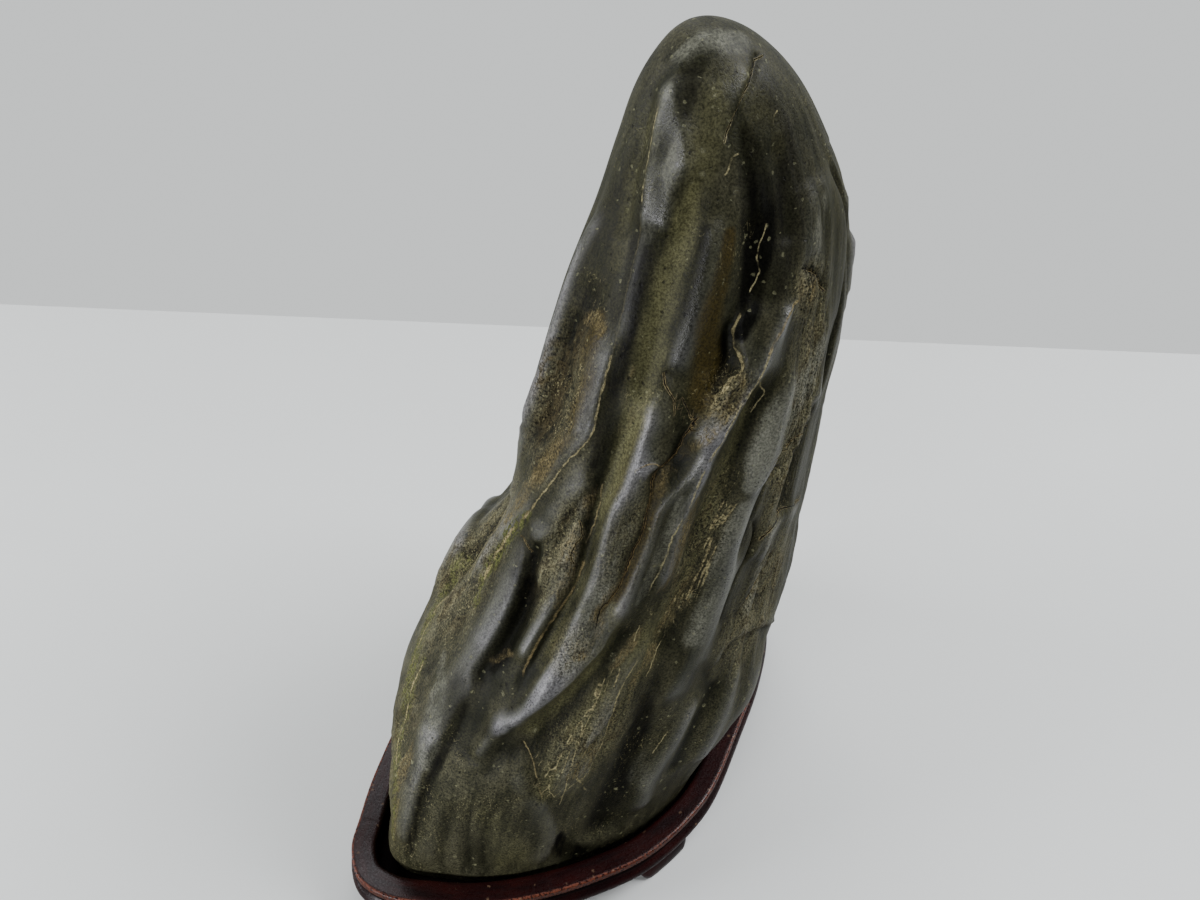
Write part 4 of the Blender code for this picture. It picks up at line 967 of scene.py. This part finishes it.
# bands: strength, then (azimuth, height, half width in mm)
rockBands = {
    "olive": [
        (0.3, [(8, 264, 3), (0, 261, 4), (-8, 256.5, 5), (-12.5, 251.5, 5), (-15.5, 246, 4.4),
         (-18, 241, 3.8), (-20, 236, 2)]),
        (0.9, [(-17, 243, 2), (-19.6, 237, 3.4), (-21.4, 230, 3.8), (-22.6, 222, 4),
         (-23.2, 212, 4), (-23, 201, 4.2), (-23.6, 191, 4), (-24.4, 181, 3.4), (-25, 172, 2.8),
         (-26, 164, 2.4), (-27, 155, 2)]),
        (0.45, [(-27, 155, 2), (-26.6, 144, 1.6), (-26, 132, 1.5), (-26.8, 118, 1.6),
         (-27, 104, 1.6)]),
        (0.2, [(20, 264, 5), (26, 258, 6), (30, 250, 6)]),
        (0.7, [(-68, 106, 3), (-66, 95, 5), (-62, 84, 5), (-58, 72, 6), (-54, 58, 6), (-50, 44, 6),
         (-48, 28, 5), (-47, 12, 3)]),
        (0.55, [(16, 190, 3), (12, 178, 4), (9, 166, 5), (8, 154, 5.5), (8, 142, 5), (7, 130, 5),
         (4, 116, 6), (-1, 102, 7), (-6, 88, 9), (-9, 72, 10), (-11, 56, 9)]),
        (0.35, [(-25, 44, 5), (-22, 30, 7), (-20, 12, 8), (-20, 0, 8)]),
        (0.6, [(-15, 126, 2), (-13, 116, 2.5), (-15, 106, 3), (-19, 96, 4), (-23, 84, 5)]),
        (0.2, [(-50, 256, 3), (-50, 245, 3), (-47, 234, 3), (-43, 222, 3)])],
    "umber": [
        (1, [(-1, 232, 2), (-2.5, 224, 2.8), (-4.5, 217, 3.5), (-5.5, 210, 4.2), (-4.5, 202, 4.8),
         (-4, 196, 5), (-6, 190, 4)]),
        (0.7, [(-22, 190, 1.5), (-22.5, 182, 2.6), (-23.4, 174, 2.2), (-25, 164, 1.4)]),
        (0.7, [(-42, 208, 3), (-41, 192, 4), (-42, 176, 4), (-48, 160, 4)]),
        (0.6, [(10, 192, 3), (6, 188, 3)]),
        (0.7, [(-13.4, 168, 1.6), (-13.6, 160, 1.4), (-14, 150, 1.2), (-14.6, 138, 1.2),
         (-16, 128, 1.2)])],
    # dark stone and painted shade: in grooves and pockets, and over places toned down against the
    # light
    "inkAndShade": [
        (1, [(14, 254, 3), (17, 246, 5), (18, 239, 6), (17, 231, 6), (15, 223, 5), (12, 213, 3.6),
         (8, 206, 2)]),
        (0.5, [(34, 262, 4), (34, 252, 8), (34, 240, 8), (30, 228, 6), (26, 216, 4)]),
        (0.9, [(2, 205, 2), (3, 199, 2.6), (0, 194, 2.2)]),
        (0.45, [(-52, 244, 5), (-52, 230, 7), (-52, 214, 8), (-52, 198, 9), (-54, 182, 10),
         (-58, 166, 9)]),
        (0.4, [(-37, 210, 2), (-37, 198, 3.4), (-36.6, 186, 3.4), (-39, 174, 3), (-42, 164, 2)]),
        (0.3, [(-43, 148, 3), (-44, 134, 5), (-44, 120, 4)]),
        (0.55, [(-41.8, 132, 2), (-41.4, 120, 4), (-40.8, 108, 5), (-40.8, 97, 5), (-41.2, 87, 5),
         (-40.8, 76, 4), (-40.8, 60, 3)]),
        (0.4, [(-26, 95, 1.6), (-27.5, 88, 3.4), (-30, 82, 3.6), (-32, 77, 2)]),
        (0.35, [(-44, 84, 2), (-43.6, 74, 4), (-43.2, 62, 4), (-43.4, 50, 3)]),
        (0.4, [(-51, 130, 2), (-49, 120, 3), (-47, 111, 3.4), (-44.5, 102, 3)]),
        (0.4, [(-50, 232, 3), (-46.8, 224, 5), (-42.7, 215.6, 6), (-38.5, 206, 6), (-35.4, 197, 5),
         (-34.4, 189, 3)]),
        (0.5, [(-38.6, 240, 1.6), (-37.5, 231, 2.6), (-36.2, 224, 2.8), (-35, 217, 2.6),
         (-33.4, 210, 2)]),
        (0.55, [(-12, 234, 1.4), (-13.2, 227, 2.4), (-13.6, 220, 2.6), (-14.1, 212, 2.6),
         (-14.9, 205, 2.4), (-16, 199, 1.6)]),
        (0.65, [(-32, 243, 1.4), (-32.5, 235, 2.4), (-32, 224, 2.6), (-31, 208, 2.6),
         (-31, 194, 2.6), (-31.5, 182, 2.2), (-31.5, 170, 1.6)]),
        (0.5, [(-16, 268, 2), (-24, 266, 3), (-26, 262, 3), (-24, 258, 1.6)]),
        (0.9, [(-40, 140, 1.2), (-39.4, 131, 2), (-38, 122, 3), (-37, 113, 3.4), (-36.6, 104, 3),
         (-37, 97, 1.6)]),
        (0.7, [(-35.6, 150, 1), (-34, 154, 1.6), (-32, 158, 1.6), (-30, 160, 1.2)]),
        # painted shadow low on the right and where the foot sits in the stand
        (0.6, [(6, 84, 3), (9, 66, 5), (8, 50, 6), (8, 34, 9), (8, 22, 12)]),
        (0.9, [(-9, 22, 2), (-7, 8, 5), (0, -4, 8), (10, -6, 9), (22, -6, 8), (34, -5, 5)]),
        (0.7, [(-38.6, 84, 1.4), (-39, 66, 1.8), (-39.4, 48, 1.8), (-40, 26, 1.8),
         (-41.5, 8, 1.6)])],
    # paler stone and painted highlights along crests and light-catching planes
    "paleStoneAndSheen": [
        (0.5, [(-7, 162, 1.4), (-7.8, 151, 2), (-7.8, 140, 2), (-8.6, 126, 1.8)]),
        (0.6, [(-40, 268, 2), (-19, 271, 3.4), (10, 271.6, 3.6), (49, 271, 3)]),
        (0.9, [(62, 190, 4), (50, 182, 7), (38, 178, 8), (30, 173, 7), (24, 166, 5),
         (22, 158, 3)]),
        (0.6, [(21.5, 150, 3), (20.5, 141, 5), (20.5, 132, 6), (20.5, 122, 6), (20, 112, 5),
         (18, 102, 4)]),
        (0.5, [(52, 126, 4), (54, 114, 8), (52, 100, 7)]),
        (0.5, [(-19, 142, 2), (-20, 130, 4), (-20, 118, 4), (-22, 106, 3)]),
        (0.3, [(-36, 262, 1.4), (-34, 256, 2.6), (-31, 250, 4), (-31, 244, 3.4), (-32, 238, 2.4),
         (-33, 230, 1.4)]),
        (0.35, [(62, 233, 2), (54, 226, 4), (50, 216, 5)]),
        (0.45, [(-51, 90, 2), (-47, 83, 4), (-45, 75, 4), (-43, 67, 4), (-42, 58, 3)]),
        (0.15, [(-43, 124, 3), (-43.5, 114, 4), (-43, 104, 4), (-42, 94, 4)]),
        (0.35, [(10, 60, 3), (12, 46, 4), (18, 34, 4)]),
        (0.4, [(-31, 158, 2), (-31, 150, 3), (-30.4, 141, 3), (-30, 132, 2)])],
    "moss": [
        (1, [(-70, 106, 2), (-67, 96, 3), (-63, 85, 3), (-60, 74, 4), (-55, 62, 4), (-50, 50, 3)]),
        (0.9, [(-45.6, 147, 1.2), (-48.6, 139, 1.8), (-51, 130, 2.2), (-52, 120, 2.2),
         (-51, 110, 2)]),
        (0.8, [(-56, 80, 2), (-55, 66, 2.4), (-52, 53, 2.4), (-47, 42, 2.4), (-46, 28, 2),
         (-46.5, 12, 2)])],
    "tan": [
        (0.45, [(-30, 163, 1), (-31, 154, 2.6), (-31.4, 144, 3.2), (-30.4, 134, 2.8),
         (-30, 124, 1.4)]),
        (0.8, [(42, 214, 2), (48, 209, 3.5), (54, 212, 2)]),
        (0.5, [(14, 196, 1.5), (10, 192, 3), (4, 188, 3.4), (-2, 184, 2.6), (-7, 178, 2),
         (-11, 171, 2), (-13, 163, 1.2)]),
        (0.7, [(-16.6, 146, 1.2), (-16.8, 136, 1.2), (-18.4, 126, 1.6), (-18.6, 117, 2.4),
         (-19.6, 110, 2.2)]),
        (0.4, [(-26.5, 199, 1), (-27, 192, 1.6), (-25.5, 186, 1.6), (-26.5, 181, 1)]),
        (0.35, [(-49, 206, 2), (-43, 208, 2.4), (-39, 206, 2)]),
        (0.6, [(-38, 99, 1), (-37, 103, 1.4), (-35, 104.5, 1.4)]),
        (0.5, [(-42, 178, 2), (-46, 164, 3), (-50, 150, 3), (-55, 136, 3)]),
        (0.6, [(-46, 60, 2), (-46, 44, 3), (-46, 28, 3), (-46, 12, 2)]),
        (0.6, [(12, 138, 2), (12, 128, 3), (9, 116, 3.4), (4, 104, 3), (-2, 90, 3.4),
         (-6, 76, 3.4), (-10, 62, 3)]),
        (1, [(12.5, 134, 0.5), (12.5, 128, 1), (12.4, 122, 1.3), (12.5, 117, 0.8)]),
        (0.9, [(6, 119, 0.6), (6.4, 113, 1.4), (5.4, 106, 1)]),
        (0.8, [(-4, 113, 0.8), (-5, 110, 1.4), (-7, 106, 1.2), (-9, 102, 0.8)]),
        (0.6, [(-1, 160, 1.6), (-2, 150, 2.4), (-1.4, 140, 2.4), (-2, 128, 2)])],
}

# veins: strength, tone (0 pale, 1 rust), then the line
rockVeins = {
    "crack": [
        (0.9, 0.2, crownCrack),
        (1, 0.8, [(-4, 187), (-6, 185), *middleCrack]),
        (0.9, 0.5, [(86, 61), *haunchLedge]),
        (0.7, 0.7, [(73, 156), (60, 161), (51.5, 162), (45, 160), (38, 162), (31, 163),
         (28, 157)]),
        (0.7, 0.5, rightLedge[:5]),
        (0.6, 0.6, leftNick),
        (0.8, 0.7, haunchCrack),
        (0.6, 0.6, browCrack),
        (0.5, 0.4, [(-31.5, 153.5), (-29.5, 148.5), (-30.5, 143.5), (-28.5, 138.5)]),
        (0.5, 0.5, [(-18, 199), *columnCrack]),
        (0.5, 0.5, [(-11.5, 192), (-8.5, 187.5), (-6, 183.5)])],
    "seam": [
        (0.3, 0.1, [(-39.5, 260), (-40.4, 254), (-40.8, 248), (-39.6, 241), (-37.4, 236)]),
        (0.15, 0.1, [(-43, 262), (-43, 256), (-41, 251), (-39.5, 245), (-38, 238), (-36.5, 230),
         (-36, 223), (-35, 215), (-34, 206), (-34, 197)]),
        (0.8, 0.15, longLedge[1:11]),
        (0.8, 0.2, pocketLip[1:10]),
        (0.8, 0.1, [(45.5, 257), (40, 256), (37, 254.5), (33, 253.5)]),
        (0.6, 0.1, [(7, 250), (2, 249), (0, 247), (-3, 245.5)]),
        (0.9, 0, [(21, 233), (17, 229.5), (15, 227), (14.5, 224.5), (16, 221.5), (15, 219.5),
         (12, 216)]),
        (1, 0, [(1, 179), (-1, 176), (-2, 172), (-3, 165), (-4.5, 157), (-6, 149.5), (-5.8, 140),
         (-6.5, 132.5), (-6.5, 126.5)]),
        (0.9, 0.1, [(17.5, 155), (14.5, 150.5), (12, 146), (11.5, 141), (11, 136.5)]),
        (0.8, 0.1, [(13, 153), (11, 149)]),
        (0.9, 0.1, [(10, 115), (9, 111), (11, 107.5)]),
        (0.6, 0.1, [(-4.6, 115), (-5, 109.5)]),
        (0.5, 0.1, [(17, 192), (20, 189), (23.5, 186), (21.5, 183), (19, 180)]),
        (0.8, 0.6, middleChip),
        (0.7, 0.4, [(-28.5, 165), (-27.6, 159), (-27.6, 152), (-28, 145)]),
        (0.8, 0.3, [(17.4, 153.5), (16, 150), (14.6, 146)]),
        (0.8, 0.3, [(15, 138), (14.6, 130), (14, 123)]),
        (0.9, 0.1, [(18.5, 154.5), (15, 148.5), (13, 145), (11.8, 139)]),
        (0.9, 0.1, [(7.8, 106), (5, 101), (3.4, 94)]),
        (0.8, 0.2, [(-7, 102), (-7.2, 96)]),
        (0.8, 0.2, [(-11, 100.5), (-11.6, 94)]),
        (0.8, 0.1, [(-10, 100.5), *bellyStep]),
        (0.9, 0.1, [(-11.5, 90), (-13.5, 80.5), (-14.5, 72), (-14.5, 64)]),
        (0.8, 0.4, [(-24, 77.5), *bellyCrack, (-15, 52)]),
        (0.9, 0, [(-13, 76.5), (-14.5, 75), (-15.5, 71)]),
        (0.8, 0, [(-9.5, 56), (-8, 57.5), (-5.5, 59.5)]),
        (0.9, 0, [(-17, 69.5), (-15, 63), (-14.5, 57), (-12, 50.5)]),
        (0.9, 0, [(-18, 58), (-16.5, 59.5), (-16, 64.5)]),
        (0.7, 0.1, [(16, 52.5), (17.5, 56), (19.5, 62)]),
        (0.6, 0.4, [(-56, 136), (-59, 124), (-60, 110)])],
    "vein": [
        (0.8, 0.4, [(-44.6, 152), *longLedge[10:15]]),
        (1, 0.5, rightEdge[:8]),
        (1, 0.05, rightEdge[6:16]),
        (0.9, 0.1, [(15, 131), (15.5, 124), (15, 120)]),
        (0.9, 0.1, [(8, 118), (5, 115.5), (5.5, 111.5)]),
        (0.8, 0.6, [*leftPlate[1:], (-29.5, 98)]),
        (0.8, 0.3, [(12.8, 154), (11.7, 148), (10.4, 142)]),
        (1, 0.25, [(12.4, 142), (12.5, 134), (12.4, 125), (11.4, 117)]),
        (0.8, 0.3, [(7.2, 120), (6.6, 113), (7.4, 106)]),
        (1, 0.1, [(-2, 104), (-5, 94.5), *bellyLedge, (-5.5, 57)]),
        (0.8, 0.1, [(-9.5, 61.5), (-6.5, 54.5), (-2.5, 44)]),
        (0.7, 0.3, [(-56, 80.5), (-56, 70), (-53.5, 60.5), (-52, 52), (-48, 47)]),
        (0.5, 0.4, [(-62, 118), (-64, 104), (-63, 88), (-60, 70)])],
}

# flecks: azimuth, height, radius in mm
rockFlecks = [(-14, 251, 0.5), (-14, 246, 0.6), (3, 257, 0.6), (9, 248, 0.5), (3, 242, 0.5),
    (-47, 234, 0.6), (-49, 243, 0.5), (16, 250, 0.4), (30, 244, 0.4), (26, 257, 0.4),
    (-6.5, 139, 0.8), (-8.5, 139, 0.6), (8.5, 126.5, 0.6), (12.5, 118.5, 0.9), (17, 120, 0.5),
    (-10, 106.5, 0.7), (-7, 105.5, 0.6), (-9, 104.5, 0.6), (-19, 108.5, 0.5), (2, 121, 0.5),
    (-2, 116, 0.5), (0, 108, 0.6), (4, 99, 0.5), (-22, 81.5, 0.9), (-23.5, 62, 0.8),
    (-30, 56, 0.6), (-28.6, 56, 0.5), (-33.5, 52, 0.6), (-17.5, 85.5, 0.5), (-32, 73, 0.8),
    (-38.5, 89, 0.7), (-42.5, 98, 0.7), (-24.5, 56, 0.5), (-34, 63, 0.5), (-4, 29.5, 0.5),
    (-19, 22, 0.7), (-32.5, 31.5, 0.5), (-37.5, 24, 0.5), (10, 15, 0.4), (-22.5, 70.5, 0.4),
    (-36, 101, 0.6), (-20, 88, 0.5), (-51, 60.5, 0.6), (-53, 55, 0.5), (-31, 64, 0.4),
    (-12, 32, 0.5), (-44, 130, 0.5), (-43, 118, 0.4), (-47, 104, 0.5), (-20, 96, 0.4),
    (-52, 224, 0.4), (-44, 214, 0.4), (20, 232, 0.4), (28, 224, 0.6), (-6, 262, 0.4)]


def paintRock(obj, points, normals, fields):
    # keeps the marks on the rock's points, for its material
    print("rock: bands, veins and flecks")
    count, rules = len(points), rockFinish
    for name, bands in rockBands.items():
        fields[name] = np.zeros(count)
        for strength, rows in bands:
            smooth = spline(rows, 4)
            reach = rules["bandReach"] * max(width for _, _, width in rows)
            near, distance, _, along = nearLine(points, normals, rows, reach)
            run = lengthAlong(bodyPoint(smooth[:, 0], smooth[:, 1]))
            width = np.interp(along, run / run[-1], smooth[:, 2])
            mask = strength * ease(rules["bandEdge"] - distance / width)
            fields[name][near] = np.maximum(fields[name][near], mask)
    for name, veins in rockVeins.items():
        # signed distance, mask and tone of the nearest line
        fields[name] = np.tile([rules["farAway"], 0.0, 0.0], (count, 1))
        for strength, tone, line in veins:
            near, distance, side, along = nearLine(points, normals, line, rules["veinReach"])
            ends = ease(along / rules["veinTaper"]) * ease((1 - along) / rules["veinTaper"])
            mask = strength * ends * np.exp(-(distance / rules["veinFade"]) ** 2)
            nearer = distance < np.abs(fields[name][near, 0])
            fields[name][near[nearer]] = np.column_stack(
                [np.sign(side) * distance, mask, np.full(len(near), tone)])[nearer]
    fields["fleck"] = np.full(count, rules["farAway"])
    for atAzimuth, atHeight, radius in rockFlecks:
        away = np.linalg.norm(points - bodyPoint([atAzimuth], [atHeight])[0], axis=1)
        fields["fleck"] = np.minimum(fields["fleck"], away - radius)
    for name, values in fields.items():
        keepField(obj, name, np.concatenate([values, values[:1], values[-1:]]))


def rockMaterial():
    print("rock: finish")
    f = rockFinish
    material, tree, shader, place = newMaterial("polishedStone")
    flow = field(tree, "flow")["Vector"]
    along = put(tree, "ShaderNodeMapping", {
        "Vector": flow, "Scale": f["streakStretch"]}).outputs[0]
    cloud, streak = (useGroup(mottle, where, Scale=coarse, Detail=6.0, Grain=fine)
                     for where, (coarse, fine) in ((place, f["clouds"]), (along, f["streaks"])))
    standing, raw, edge = split(field(tree, "relief")["Vector"])
    olive, umber, inkAndShade, moss, tan, paleStoneAndSheen, fleck = (
        field(tree, name)["Fac"]
        for name in ("olive", "umber", "inkAndShade", "moss", "tan", "paleStoneAndSheen", "fleck"))

    def ragged(mask, amount=0.7):
        # the mask with its edge broken up by the streaks
        noisy = times(minus(streak["Cloud"], 0.5), amount)
        return plus(mask, times(between(mask, 0.0, 0.3), noisy), clamp=True)

    def downTo(upper, lower):
        # one value on the upper rock and another at the foot
        return upper if upper == lower else between(foot, 0.05, f["footDust"], upper, lower)

    # plain stone, paler with painted highlights where it stands out and darker with painted shade
    # where it lies deep
    high, deep, ridgeHighlight, notLow = (between(standing, *f["standing"][name])
                                for name in ("wornCrestSheen", "hollowShade", "ridgeHighlight", "paleStoneAndSheen"))
    foot = between(split(flow)[2], *f["footHeights"], 0.0, f["footDust"])
    dusty = times(larger(foot, between(raw, 0.0, 0.7)), plus(0.35, times(streak["Cloud"], 0.6)))
    layers = [
        ("slate", streak["Cloud"]), ("wornCrestSheen", high), ("dust", dusty), ("loam", cloud["Cloud"]),
        ("hollowShade", deep), ("inkAndShade", ragged(inkAndShade)), ("umber", ragged(umber)),
        ("olive", ragged(olive, 0.45)), ("ridgeHighlight", ridgeHighlight), ("paleStoneAndSheen", times(ragged(paleStoneAndSheen), notLow))]

    # raw stone: flaky, matt and tan along the edges of its plates
    flaky = between(plus(edge, times(cloud["Fine"], 0.9)), 1.7, 0.5)
    flaky = times(flaky, between(raw, 0.15, 0.6))
    scaly = between(streak["Fine"], 0.35, 0.75)
    patchy = times(ragged(tan, 1.4), plus(times(scaly, 0.5), 0.35))
    patchy = larger(patchy, times(flaky, times(streak["Cloud"], 0.7)))
    patchy = larger(patchy, times(raw, times(scaly, 0.22)))
    mossy = times(ragged(moss, 1.6), between(streak["Fine"], 0.2, 0.7))
    gap = times(between(edge, 0.5, 0.1), times(raw, 0.8))
    layers += [("tan", patchy), ("moss", mossy), ("crack", gap)]

    # single flecks, and grains that gather at the foot
    away = plus(fleck, times(minus(cloud["Fine"], 0.5), 0.9))
    spots = between(away, 0.25, -0.35)
    for scale, share, size, strength in f["grains"]:
        grains = speckle(place, scale, downTo(*share), size)
        spots = larger(spots, times(grains, downTo(*strength)))

    # hairlines along the streaks, and a sprinkle of dark pits
    strand = calc("ABSOLUTE", minus(noise(along, 480.0, 2.0, 0.6)["Fac"], 0.5))
    loose = plus(cloud["Cloud"], times(larger(raw, foot), 0.8))
    strand = times(between(strand, 0.014, 0.002), between(loose, 0.8, 1.15))
    strand = times(strand, between(cloud["Fine"], 0.3, 0.6))
    pits = speckle(place, *f["pits"])
    layers += [("fleck", spots), ("veinPale", strand), ("pit", pits)]
    colour = cover(f, layers, f["charcoal"])

    # seams, veins and cracks, with what they do to the polish and the relief
    dips = times(plus(spots, pits), -0.25)
    matt = plus(raw, plus(patchy, mossy), clamp=True)
    for name, (core, border, depth) in f["lines"].items():
        line = useGroup(veinLine, place, Line=field(tree, name)["Vector"], Core=core,
                        Border=border)
        lineColour = blend(line["Tone"], f["veinPale"], f["veinRust"])
        colour = blend(times(line["Border"], f["veinCover"]), colour, lineColour)
        if name == "crack":
            colour = blend(line["Core"], colour, f["crack"])
        matt = plus(matt, times(line["Border"], 0.7), clamp=True)
        dips = minus(dips, times(line["Core"], depth))

    # grain over everything
    grain = plus(times(cloud["Fine"], 0.85), times(streak["Fine"], 0.15))
    contrast = between(larger(raw, foot), 0.0, 0.5, *f["grainContrast"])
    shade = plus(1.0, times(contrast, minus(grain, 0.5)))
    grey = put(tree, "ShaderNodeCombineColor", {0: shade, 1: shade, 2: shade}).outputs[0]

    # worn bright where it stands out, dull in the hollows and on raw stone
    worn = times(high, minus(1.0, matt))
    rough = plus(f["dull"], times(worn, f["polish"] - f["dull"]))
    rough = plus(rough, times(matt, f["raw"] - f["dull"]))
    shine = plus(f["shineLow"], times(worn, f["shineHigh"] - f["shineLow"]))
    relief = plus(times(grain, 0.13), dips)
    relief = plus(relief, times(plus(raw, 0.15), times(streak["Cloud"], 0.4)))
    relief = plus(relief, times(times(matt, streak["Fine"]), 0.7))
    feed(shader, {
        "Base Color": blend(1.0, colour, grey, "MULTIPLY"),
        "Roughness": plus(rough, times(cloud["Fine"], 0.1)),
        "Specular IOR Level": times(shine, between(inkAndShade, 0.0, 1.0, 1.0, 0.3)),
        "Normal": bumped(relief, *f["bump"])})
    return material


paintRock(rock, rockBody, rockNormals, rockFields)
rock.data.materials.append(rockMaterial())


# the stand's finish

standFinish = {
    "deep": tone(20, 5, 6),
    "warm": tone(54, 16, 13),
    "worn": tone(126, 66, 42),
    "dust": tone(120, 96, 74),
    "shade": tone(9, 3, 3),
    "cover": {"warm": 0.55, "deep": 0.5, "worn": 0.6, "dust": 0.6, "shade": 0.85},
    "fibreStretch": (0.00022, 0.001),    # along and across the rim, metres for each mm
    "chips": (420.0, 0.16, 0.24),        # scale, share, size
    # roughness of clean lacquer, and what cloudy, rubbed and hidden places add
    "gloss": 0.24,
    "cloudy": 0.12,
    "rubbed": 0.2,
    "hidden": 0.45,
    "specular": (0.3, 0.1),              # in the open and where hidden
    "coat": (0.08, 0.0),
    "coatRoughness": 0.12,
    "bump": (0.25, 0.0003),
}


def standMaterial():
    print("stand: finish")
    f = standFinish
    material, tree, shader, place = newMaterial("lacqueredWood")
    run, across, wearAndShade = split(field(tree, "grain")["Vector"])
    flow = put(tree, "ShaderNodeCombineXYZ", {
        0: times(run, f["fibreStretch"][0]), 1: times(across, f["fibreStretch"][1])}).outputs[0]
    fibre = useGroup(mottle, flow, Scale=260.0, Detail=5.0, Grain=1500.0)
    cloud = useGroup(mottle, place, Scale=50.0, Detail=5.0, Grain=1200.0)
    rubbed = times(between(wearAndShade, 0.55, 1.0), between(cloud["Fine"], 0.1, 0.8))
    chipped = times(speckle(place, *f["chips"]), between(wearAndShade, 0.08, 0.25))
    # painted shade on the recess, the cove and the underside
    hidden = between(wearAndShade, 0.12, 0.02)
    layers = [("warm", fibre["Cloud"]), ("deep", cloud["Cloud"]), ("worn", rubbed),
              ("dust", chipped), ("shade", hidden)]
    rough = plus(f["gloss"], times(cloud["Fine"], f["cloudy"]))
    rough = plus(rough, times(rubbed, f["rubbed"]))
    relief = plus(times(fibre["Fine"], 0.5), times(cloud["Fine"], 0.3))
    feed(shader, {
        "Base Color": cover(f, layers, f["deep"]),
        "Roughness": plus(rough, times(hidden, f["hidden"])),
        "Specular IOR Level": between(hidden, 0.0, 1.0, *f["specular"]),
        "Coat Weight": between(hidden, 0.0, 1.0, *f["coat"]),
        "Coat Roughness": f["coatRoughness"],
        "Normal": bumped(minus(relief, times(chipped, 0.6)), *f["bump"])})
    return material


stand.data.materials.append(standMaterial())


# floor, light and camera

studio = {
    "floorColour": tone(226, 229, 225),
    "floorClouds": tone(200, 203, 198),
    "floorShade": tone(10, 10, 10),      # what the rock sees of the floor on the viewer's side
    "floorReach": 1.6,                   # metres from the middle to the front and the sides
    "floorBack": 0.31,
    "floorRoughness": 0.55,
    # share of its light that the floor gives back: from and to y in metres, low and high share
    "floorBounce": (-0.2, 0.15, 0.12, 0.7),
    "wallColour": tone(222, 225, 225),
    "wallGlow": 1.16,
    # light from the room: behind and above the rock, and from the viewer's side
    "roomFar": 0.9,
    "roomNear": 0.03,
    # name, place, width, height, watts
    "lamps": [
        ("leftBox", (-1.05, -0.12, 0.62), 0.6, 0.4, 12.0),
        ("frontBox", (-0.62, -0.95, 0.3), 0.45, 0.35, 9.0),
        ("rightBox", (0.75, 0.1, 1.0), 0.6, 0.5, 15.0),
        ("topBox", (-0.1, 0.9, 1.3), 0.9, 0.6, 6.0)],
    "lampTarget": (0.0, 0.0, 0.13),
    "lampColour": (0.95, 0.95, 1.0),
    "cameraPlace": (0.0025, -0.222, 0.364),
    "cameraPitch": 42.0,                 # degrees below the horizon
    "cameraRoll": 2.4,
    "lens": 27.03,
}


def addToScene(name, data):
    obj = bpy.data.objects.new(name, data)
    bpy.context.scene.collection.objects.link(obj)
    return obj


def buildFloor():
    reach, back = studio["floorReach"], studio["floorBack"]
    corners = [(-reach, -reach, 0), (reach, -reach, 0), (reach, back, 0), (-reach, back, 0)]
    floor = makeObject("floor", np.array(corners) / mm, [(0, 1, 2, 3)], smooth=False)
    material, tree, shader, place = newMaterial("paleTable")
    cloud = useGroup(mottle, place, Scale=9.0, Detail=3.0, Grain=900.0)
    colour = blend(times(cloud["Cloud"], 0.06), studio["floorColour"], studio["floorClouds"])
    seen = put(tree, "ShaderNodeLightPath").outputs["Is Camera Ray"]
    shown = larger(seen, between(split(place)[1], *studio["floorBounce"]))
    feed(shader, {"Base Color": blend(shown, studio["floorShade"], colour),
                  "Roughness": studio["floorRoughness"]})
    floor.data.materials.append(material)


def buildRoom():
    world = bpy.data.worlds.new("paleRoom")
    bpy.context.scene.world = world
    world.use_nodes = True
    tree = world.node_tree
    _, y, z = split(put(tree, "ShaderNodeTexCoord").outputs["Generated"])
    room = between(plus(y, times(z, 0.5)), 0.1, 1.0, studio["roomNear"], studio["roomFar"])
    seen = put(tree, "ShaderNodeLightPath").outputs["Is Camera Ray"]
    glow = put(tree, "ShaderNodeMix", {0: seen, 2: room, 3: studio["wallGlow"]}).outputs[0]
    feed(tree.nodes["Background"], {"Strength": glow, "Color": studio["wallColour"]})
    for name, at, width, height, watts in studio["lamps"]:
        light = bpy.data.lights.new(name, "AREA")
        light.shape = "RECTANGLE"
        light.size, light.size_y, light.energy = width, height, watts
        light.color = studio["lampColour"]
        lamp = addToScene(name, light)
        lamp.location = at
        aim = Vector(studio["lampTarget"]) - Vector(at)
        lamp.rotation_euler = aim.to_track_quat("-Z", "Y").to_euler()


def placeCamera():
    camera = bpy.data.cameras.new("camera")
    camera.sensor_width = 36.0
    camera.lens = studio["lens"]
    camera.clip_start = 0.005
    holder = addToScene("camera", camera)
    pitch, roll = math.radians(studio["cameraPitch"]), math.radians(studio["cameraRoll"])
    turn = Matrix.Rotation(math.pi / 2 - pitch, 4, "X") @ Matrix.Rotation(roll, 4, "Z")
    holder.matrix_world = Matrix.Translation(studio["cameraPlace"]) @ turn
    bpy.context.scene.camera = holder


print("floor, light and camera")
buildFloor()
buildRoom()
placeCamera()
